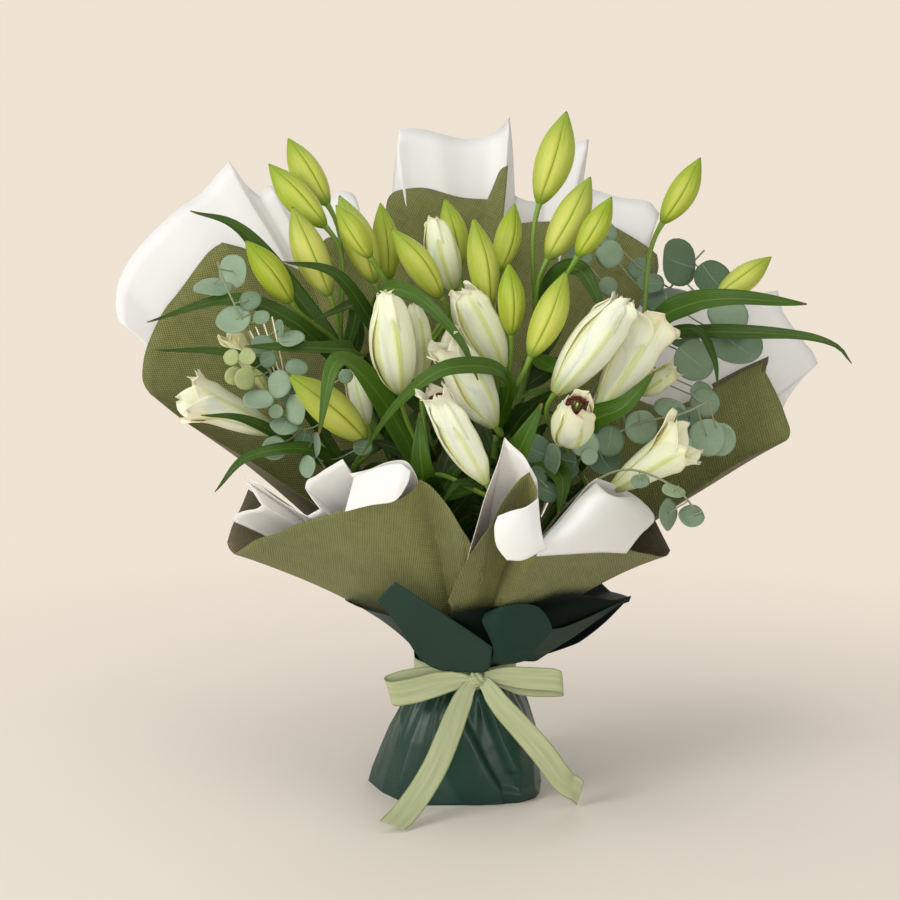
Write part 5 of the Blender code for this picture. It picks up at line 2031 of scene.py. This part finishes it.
FLAPS = (
    PaperFlap(
        "white_fold_front",
        (
            ((44, -209, 273), (58, -209, 273), (72, -205, 279), (79, -201, 281)),
            ((35, -211, 286), (48, -213, 287), (64, -211, 288), (76, -206, 288)),
            ((33, -212, 302), (46, -215, 303), (62, -212, 303), (73, -205, 303)),
            ((36, -210, 312), (48, -212, 317), (60, -210, 320), (71, -202, 326)),
        ),
        WHITE_PAPER, WHITE_PAPER, Slot.WHITE, (0.05, 0.045),
    ),
    PaperFlap(
        "white_roll_right",
        (
            ((70, -198, 274), (95, -186, 273), (128, -164, 270), (154, -136, 263)),
            ((74, -196, 287), (104, -190, 290), (136, -168, 291), (167, -128, 278)),
            ((91, -178, 302), (115, -186, 309), (147, -164, 307), (182, -108, 288)),
            ((107, -166, 318), (124, -180, 324), (147, -166, 318), (175, -116, 302)),
            ((125, -152, 331), (129, -168, 328), (139, -168, 321), (160, -134, 314)),
        ),
        WHITE_PAPER, WHITE_PAPER, Slot.WHITE, (0.085, 0.095),
    ),
    PaperFlap(
        "white_roll_left",
        (
            ((-98, -160, 306), (-75, -178, 315), (-55, -188, 320), (-47, -190, 327)),
            ((-94, -156, 321), (-73, -176, 330), (-52, -190, 338), (-41, -190, 338)),
            ((-90, -150, 336), (-72, -168, 346), (-50, -182, 353), (-39, -186, 347)),
        ),
        WHITE_PAPER, WHITE_PAPER, Slot.WHITE, (0.035, 0.068),
    ),
    PaperFlap(
        "olive_fold_right",
        (
            ((306, 50, 407), (290, 64, 391), (270, 80, 373)),
            ((310, 52, 414), (287, 66, 398), (264, 82, 382)),
            ((312, 58, 421), (288, 74, 407), (261, 92, 389)),
        ),
        OLIVE_BACK, OLIVE_BACK, Slot.OLIVE, (0.018, 0.06),
    ),
    PaperFlap(
        "collar_flap_left",
        (
            ((-72, -104, 212), (-53, -92, 184), (-34, -68, 147), (-15, -64, 134), (14, -63, 131)),
            ((-64, -108, 222), (-42, -100, 200), (-14, -84, 168), (10, -76, 151), (31, -68, 135)),
            ((-55, -112, 231), (-33, -108, 215), (-9, -98, 196), (14, -88, 178), (35, -78, 160)),
        ),
        MATTE_WRAP, SATIN_WRAP, Slot.WRAP, (0.042, 0.125),
    ),
    PaperFlap(
        "collar_flap_right",
        (
            ((33, -61, 141), (54, -60, 142), (76, -52, 139), (82, -50, 143)),
            ((35, -66, 150), (63, -72, 156), (101, -64, 160), (140, -34, 177)),
            ((38, -74, 159), (83, -78, 176), (108, -70, 179), (171, -2, 189)),
        ),
        # Its inner side is painted in shade, near black.
        TAUPE_WRAP, PAINTED_SHADE_WRAP, Slot.WRAP, (0.032, 0.12),
    ),
    # A near-black sheet of painted shade, which fills the dark hollow inside the collar between its two
    # flaps.
    PaperFlap(
        "collar_painted_shade",
        (
            (
                (-2, -70, 168), (16, -66, 160), (38, -62, 154), (61, -70, 161), (83, -70, 172),
                (102, -64, 176), (138, -34, 182), (155, -17, 184), (171, -1, 185),
            ),
            (
                (-4, -86, 186), (12, -80, 180), (31, -72, 174), (53, -76, 184), (78, -72, 191),
                (104, -62, 195), (132, -40, 192), (153, -20, 188), (172, -1, 188),
            ),
            (
                (-7, -104, 198), (9, -106, 202), (27, -100, 204), (51, -95, 204), (75, -88, 206),
                (103, -80, 211), (129, -54, 204), (152, -26, 193), (173, -1, 191),
            ),
        ),
        PAINTED_SHADE_WRAP, PAINTED_SHADE_WRAP, Slot.WRAP, (0.04, 0.17),
    ),
    PaperFlap(
        "collar_panel",
        (
            ((33, -64, 141), (42, -66, 140), (52, -65, 140), (62, -62, 141), (72, -58, 143)),
            ((36, -76, 157), (49, -79, 157), (63, -80, 160), (76, -76, 162), (87, -70, 163)),
            ((31, -87, 174), (46, -93, 174), (66, -89, 176), (80, -84, 177), (91, -79, 177)),
            ((25, -95, 189), (41, -104, 192), (62, -96, 194), (77, -94, 192), (88, -88, 188)),
            ((27, -95, 198), (41, -106, 206), (60, -102, 208), (75, -98, 205), (82, -90, 198)),
        ),
        # Its back is painted in shade, near black.
        PANEL_WRAP, PAINTED_SHADE_WRAP, Slot.WRAP, (0.06, 0.075),
    ),
)


# ---------------------------------------------------------------- ribbon


@dataclass(frozen=True)
class Strip:
    """A length of ribbon: its middle line and its widths along it, in millimetres.

    Its width lies along the direction across or, where there is none, square to facing.
    """

    PINCHED = (4.0, 8.0)  # half widths at which it is fully gathered, and lies open
    ARCH = 0.5
    BUMPS = (60.0, 0.3)  # size and height

    node: str
    line: tuple[Point, ...]
    widths: tuple[float, ...]
    facing: Point | None = None
    across: Point | None = None
    cut: float = 0.0  # how far the end is cut off slantwise
    flat: Pair = (0.025, 0.160)
    rows: int = 90
    columns: int = 15

    def build(self) -> None:
        """Builds the strip over its CAD node."""
        name = self.node + "_satin"
        line = smooth_path(self.line, self.rows)[:, None]
        along = unit(np.gradient(line, axis=0))
        across = unit(np.array(self.across) if self.across else np.cross(along, self.facing))
        up = np.cross(across, along)
        v = np.linspace(0, 1, self.rows)[:, None]
        w = np.linspace(-1, 1, self.columns)
        half = 0.5 * np.interp(v, np.linspace(0, 1, len(self.widths)), self.widths)
        gathers = (1 - smoothstep(half, *self.PINCHED)) * np.sin(1.5 * math.tau * w)
        points = line + (half * w)[..., None] * across
        size, height = self.BUMPS
        lift = gathers - self.ARCH * w**2 + height * Wobble(len(name), size).at(points)
        slant = self.cut * w * smoothstep(v, 0.75, 1.0)
        points = points + lift[..., None] * up + slant[..., None] * along
        patch = Patchwork()
        patch.grid(points, uv_grid(np.linspace(0, 1, self.columns), v * step_lengths(line).sum() * MM))
        made = patch.to_object(name, [RIBBON], RIBBON_THICKNESS)
        place(made, Slot.RIBBON, self.node)
        declare_sheet(made, points, self.flat)


STRIPS = (
    Strip(
        "ribbon_loop_left",
        (
            (12, -58, 126), (-19, -57, 124), (-46, -58, 120), (-60, -60, 116), (-64, -63, 114),
            (-62, -67, 112), (-56, -69, 112), (-38, -68, 115), (-15, -66, 121), (4, -64, 124), (14, -63, 124),
        ),
        (9, 20, 24, 25, 25, 25, 25, 25, 24, 19, 9), across=(-0.27, 0, 0.96),
    ),
    Strip(
        "ribbon_loop_right",
        (
            (28, -54, 125), (43, -53, 122), (62, -54, 117), (84, -55, 116), (99, -57, 117), (103, -60, 119),
            (100, -63, 122), (92, -64, 124), (70, -63, 125), (43, -62, 127), (28, -62, 127),
        ),
        (9, 18, 22, 23, 23, 23, 23, 23, 22, 17, 9), across=(-0.08, 0, 1.0),
    ),
    Strip(
        "ribbon_tail_left",
        (
            (18, -62, 122), (11, -68, 114), (2, -78, 96), (-7, -88, 75), (-18, -100, 52), (-32, -113, 31),
            (-47, -128, 15), (-58, -141, 8),
        ),
        (10, 20, 23, 24, 24, 24, 24, 22), facing=(0.30, -0.7, 0.5), cut=7.0,
    ),
    Strip(
        "ribbon_tail_right",
        (
            (24, -62, 125), (31, -67, 118), (43, -73, 102), (63, -77, 80), (83, -80, 57), (102, -78, 30),
            (115, -74, 19), (120, -72, 14),
        ),
        (10, 19, 22, 23, 24, 24, 24, 22), facing=(-0.35, -0.8, 0.4), cut=7.0,
    ),
)


@dataclass(frozen=True)
class RibbonNeck:
    """The ribbon round the neck and the knot in front of it."""

    band_flat: Pair = (0.021, 0.32)
    clearance: float = 0.9
    fold_depth: float = 0.8
    knot: Point = (20.0, -62.0, 124.0)
    knot_size: Point = (8.5, 6.5, 7.0)
    knot_grid: tuple[int, int] = (34, 60)
    sides: int = 200
    rows: int = 13

    def build_band(self) -> None:
        """Builds the gathered band round the neck."""
        turn = around(self.sides)
        w = np.linspace(-1, 1, self.rows)[:, None]
        folds = 0.5 * np.sin(1.1 * math.tau * w + 2 * np.sin(4 * turn)) + 0.45 * np.sin(17 * turn) * np.abs(w)
        radius = NECK_RADIUS + self.clearance + folds * self.fold_depth
        z = NECK_HEIGHT + w * BAND_WIDTH / 2 + 1.6 * np.sin(turn - 0.6) + 0.8 * np.sin(5 * turn)
        points = np.dstack([NECK[0] + radius * np.cos(turn), radius * np.sin(turn), z])
        v = np.linspace(0, math.tau * NECK_RADIUS * MM, self.sides + 1)
        patch = Patchwork()
        patch.grid(points, uv_grid(v, np.linspace(0, 1, self.rows))[..., ::-1])
        made = patch.to_object("ribbon_band_satin", [RIBBON], RIBBON_THICKNESS)
        place(made, Slot.RIBBON, "ribbon_band")
        declare_sheet(made, points, self.band_flat)

    def build_knot(self) -> None:
        """Builds the crumpled knot, a lump with the turns of the ribbon pressed into it."""
        rings, sides = self.knot_grid
        turn = around(sides)
        tilt = np.linspace(-0.25 * math.tau, 0.25 * math.tau, rings)[:, None]
        x, z = np.cos(tilt) * np.cos(turn), np.broadcast_to(np.sin(tilt), self.knot_grid)
        ball = np.dstack([x, np.cos(tilt) * np.sin(turn), z])
        ridges = 0.10 * np.sin(9 * x + 6 * z) + 0.07 * np.sin(14 * z - 4 * x)
        points = np.array(self.knot) + ball * (1 + ridges)[..., None] * self.knot_size
        patch = Patchwork()
        patch.grid(points, uv_grid(np.linspace(0.1, 0.9, sides + 1), np.linspace(0, 0.03, rings)))
        place(patch.to_object("ribbon_knot_satin", [RIBBON]), Slot.RIBBON, "ribbon_knot")


# ---------------------------------------------------------------- stage


@dataclass(frozen=True)
class Lamp:
    """A soft square light: where it stands, what it looks at, its size and power."""

    name: str
    place: Point
    target: Point
    size: float
    power: float

    def build(self) -> None:
        """Adds the lamp."""
        data = bpy.data.lights.new(self.name, "AREA")
        data.size = self.size
        data.energy = self.power
        lamp = add_object(self.name, data)
        lamp.location = self.place
        lamp.rotation_euler = (Vector(self.target) - Vector(self.place)).to_track_quat("-Z", "Y").to_euler()


@dataclass(frozen=True)
class Studio:
    """Floor, backdrop, lamps and camera."""

    eye: Point = (-0.005, -1.725, 0.610)
    pitch: float = 9.03
    lens: float = 72.0
    backdrop: str = "EFE3D3"
    daylight: float = 0.44
    floor_size: float = 24.0
    floor_ends: Pair = (0.16, 1.2)  # distances at which the floor starts to fade, and is backdrop
    lamps: tuple[Lamp, ...] = (
        Lamp("key", (-2.1, -1.6, 1.4), (0, 0, 0.3), 1.2, 34.0),
        Lamp("front", (0.3, -2.8, 0.5), (0, 0, 0.25), 1.8, 27.0),
        Lamp("top", (-0.3, -0.8, 3.0), (0, 0, 0.3), 1.4, 14.0),
        Lamp("back", (0.5, 2.3, 1.3), (0, 0, 0.3), 1.5, 9.0),
    )

    def build(self) -> None:
        """Builds the stage."""
        self.build_floor()
        self.build_world()
        for lamp in self.lamps:
            lamp.build()
        self.build_camera()

    def build_floor(self) -> None:
        """Adds the floor, which is no part of the object."""
        half = self.floor_size / 2
        corners = [(-half, -half, 0), (half, -half, 0), (half, half, 0), (-half, half, 0)]
        mesh = bpy.data.meshes.new("floor")
        mesh.from_pydata(corners, [], [(0, 1, 2, 3)])
        mesh.materials.append(self.floor_material())
        add_object("floor", mesh)

    def build_camera(self) -> None:
        """Adds the camera and sets how colours are shown."""
        data = bpy.data.cameras.new("camera")
        data.lens = self.lens
        camera = add_object("camera", data)
        camera.location = self.eye
        camera.rotation_euler = (math.radians(90 - self.pitch), 0, 0)
        bpy.context.scene.camera = camera
        bpy.context.scene.view_settings.view_transform = "Standard"

    @staticmethod
    def seen_rays(graph: Graph) -> Socket:
        """1 on rays that show the backdrop: from the camera, off a reflection or through glass."""
        rays = graph.node("LightPath").outputs
        shown = graph.math("MAXIMUM", rays["Is Camera Ray"], rays["Is Glossy Ray"])
        return graph.math("MAXIMUM", shown, rays["Is Transmission Ray"])

    def floor_material(self) -> bpy.types.Material:
        """A pale floor that runs into the backdrop far from the object.

        Returns:
            The material.
        """
        made = FLOOR.material()
        nodes = made.node_tree.nodes
        graph = Graph(made.node_tree)
        away = graph.node("VectorMath", {0: graph.place()}, operation="LENGTH").outputs["Value"]
        far = graph.times(graph.step(away, *self.floor_ends), self.seen_rays(graph))
        glow = graph.node("Emission", {"Color": self.backdrop}).outputs[0]
        mixed = graph.node("MixShader", {0: far, 1: nodes["Principled BSDF"].outputs[0], 2: glow})
        graph.feed(nodes["Material Output"].inputs["Surface"], mixed.outputs[0])
        return made

    def build_world(self) -> None:
        """Adds a pale backdrop for the rays that show it, over an even white light."""
        world = bpy.data.worlds.new("studio")
        world.use_nodes = True
        bpy.context.scene.world = world
        graph = Graph(world.node_tree)
        light = world.node_tree.nodes["Background"]
        graph.feed(light.inputs["Color"], "FFFFFF")
        graph.feed(light.inputs["Strength"], self.daylight)
        seen = graph.node("Background", {"Color": self.backdrop, "Strength": 1.0})
        mixed = graph.node("MixShader", {0: self.seen_rays(graph), 1: light.outputs[0], 2: seen.outputs[0]})
        graph.feed(world.node_tree.nodes["World Output"].inputs["Surface"], mixed.outputs[0])


# ---------------------------------------------------------------- main


def dress_cad_nodes() -> None:
    """Gives the pouch and the tie, which keep their CAD shape, their finishes."""
    for node, finish in (("water_pouch", POUCH), ("stem_tie", RAFFIA)):
        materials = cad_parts[node].data.materials
        materials.clear()
        materials.append(finish.material())
        log.info("%s keeps its CAD shape, in %s", node, finish.name)


def main() -> None:
    logging.basicConfig(level=logging.INFO, format="%(name)s: %(message)s")
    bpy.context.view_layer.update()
    Studio().build()
    dress_cad_nodes()
    for piece in (*buds(), *blooms(), *STEMS, *SPRIGS, *SHEETS, BaseWrap(), *FLAPS):
        piece.build()
    neck = RibbonNeck()
    neck.build_band()
    neck.build_knot()
    for strip in STRIPS:
        strip.build()


if __name__ == "__main__":
    main()
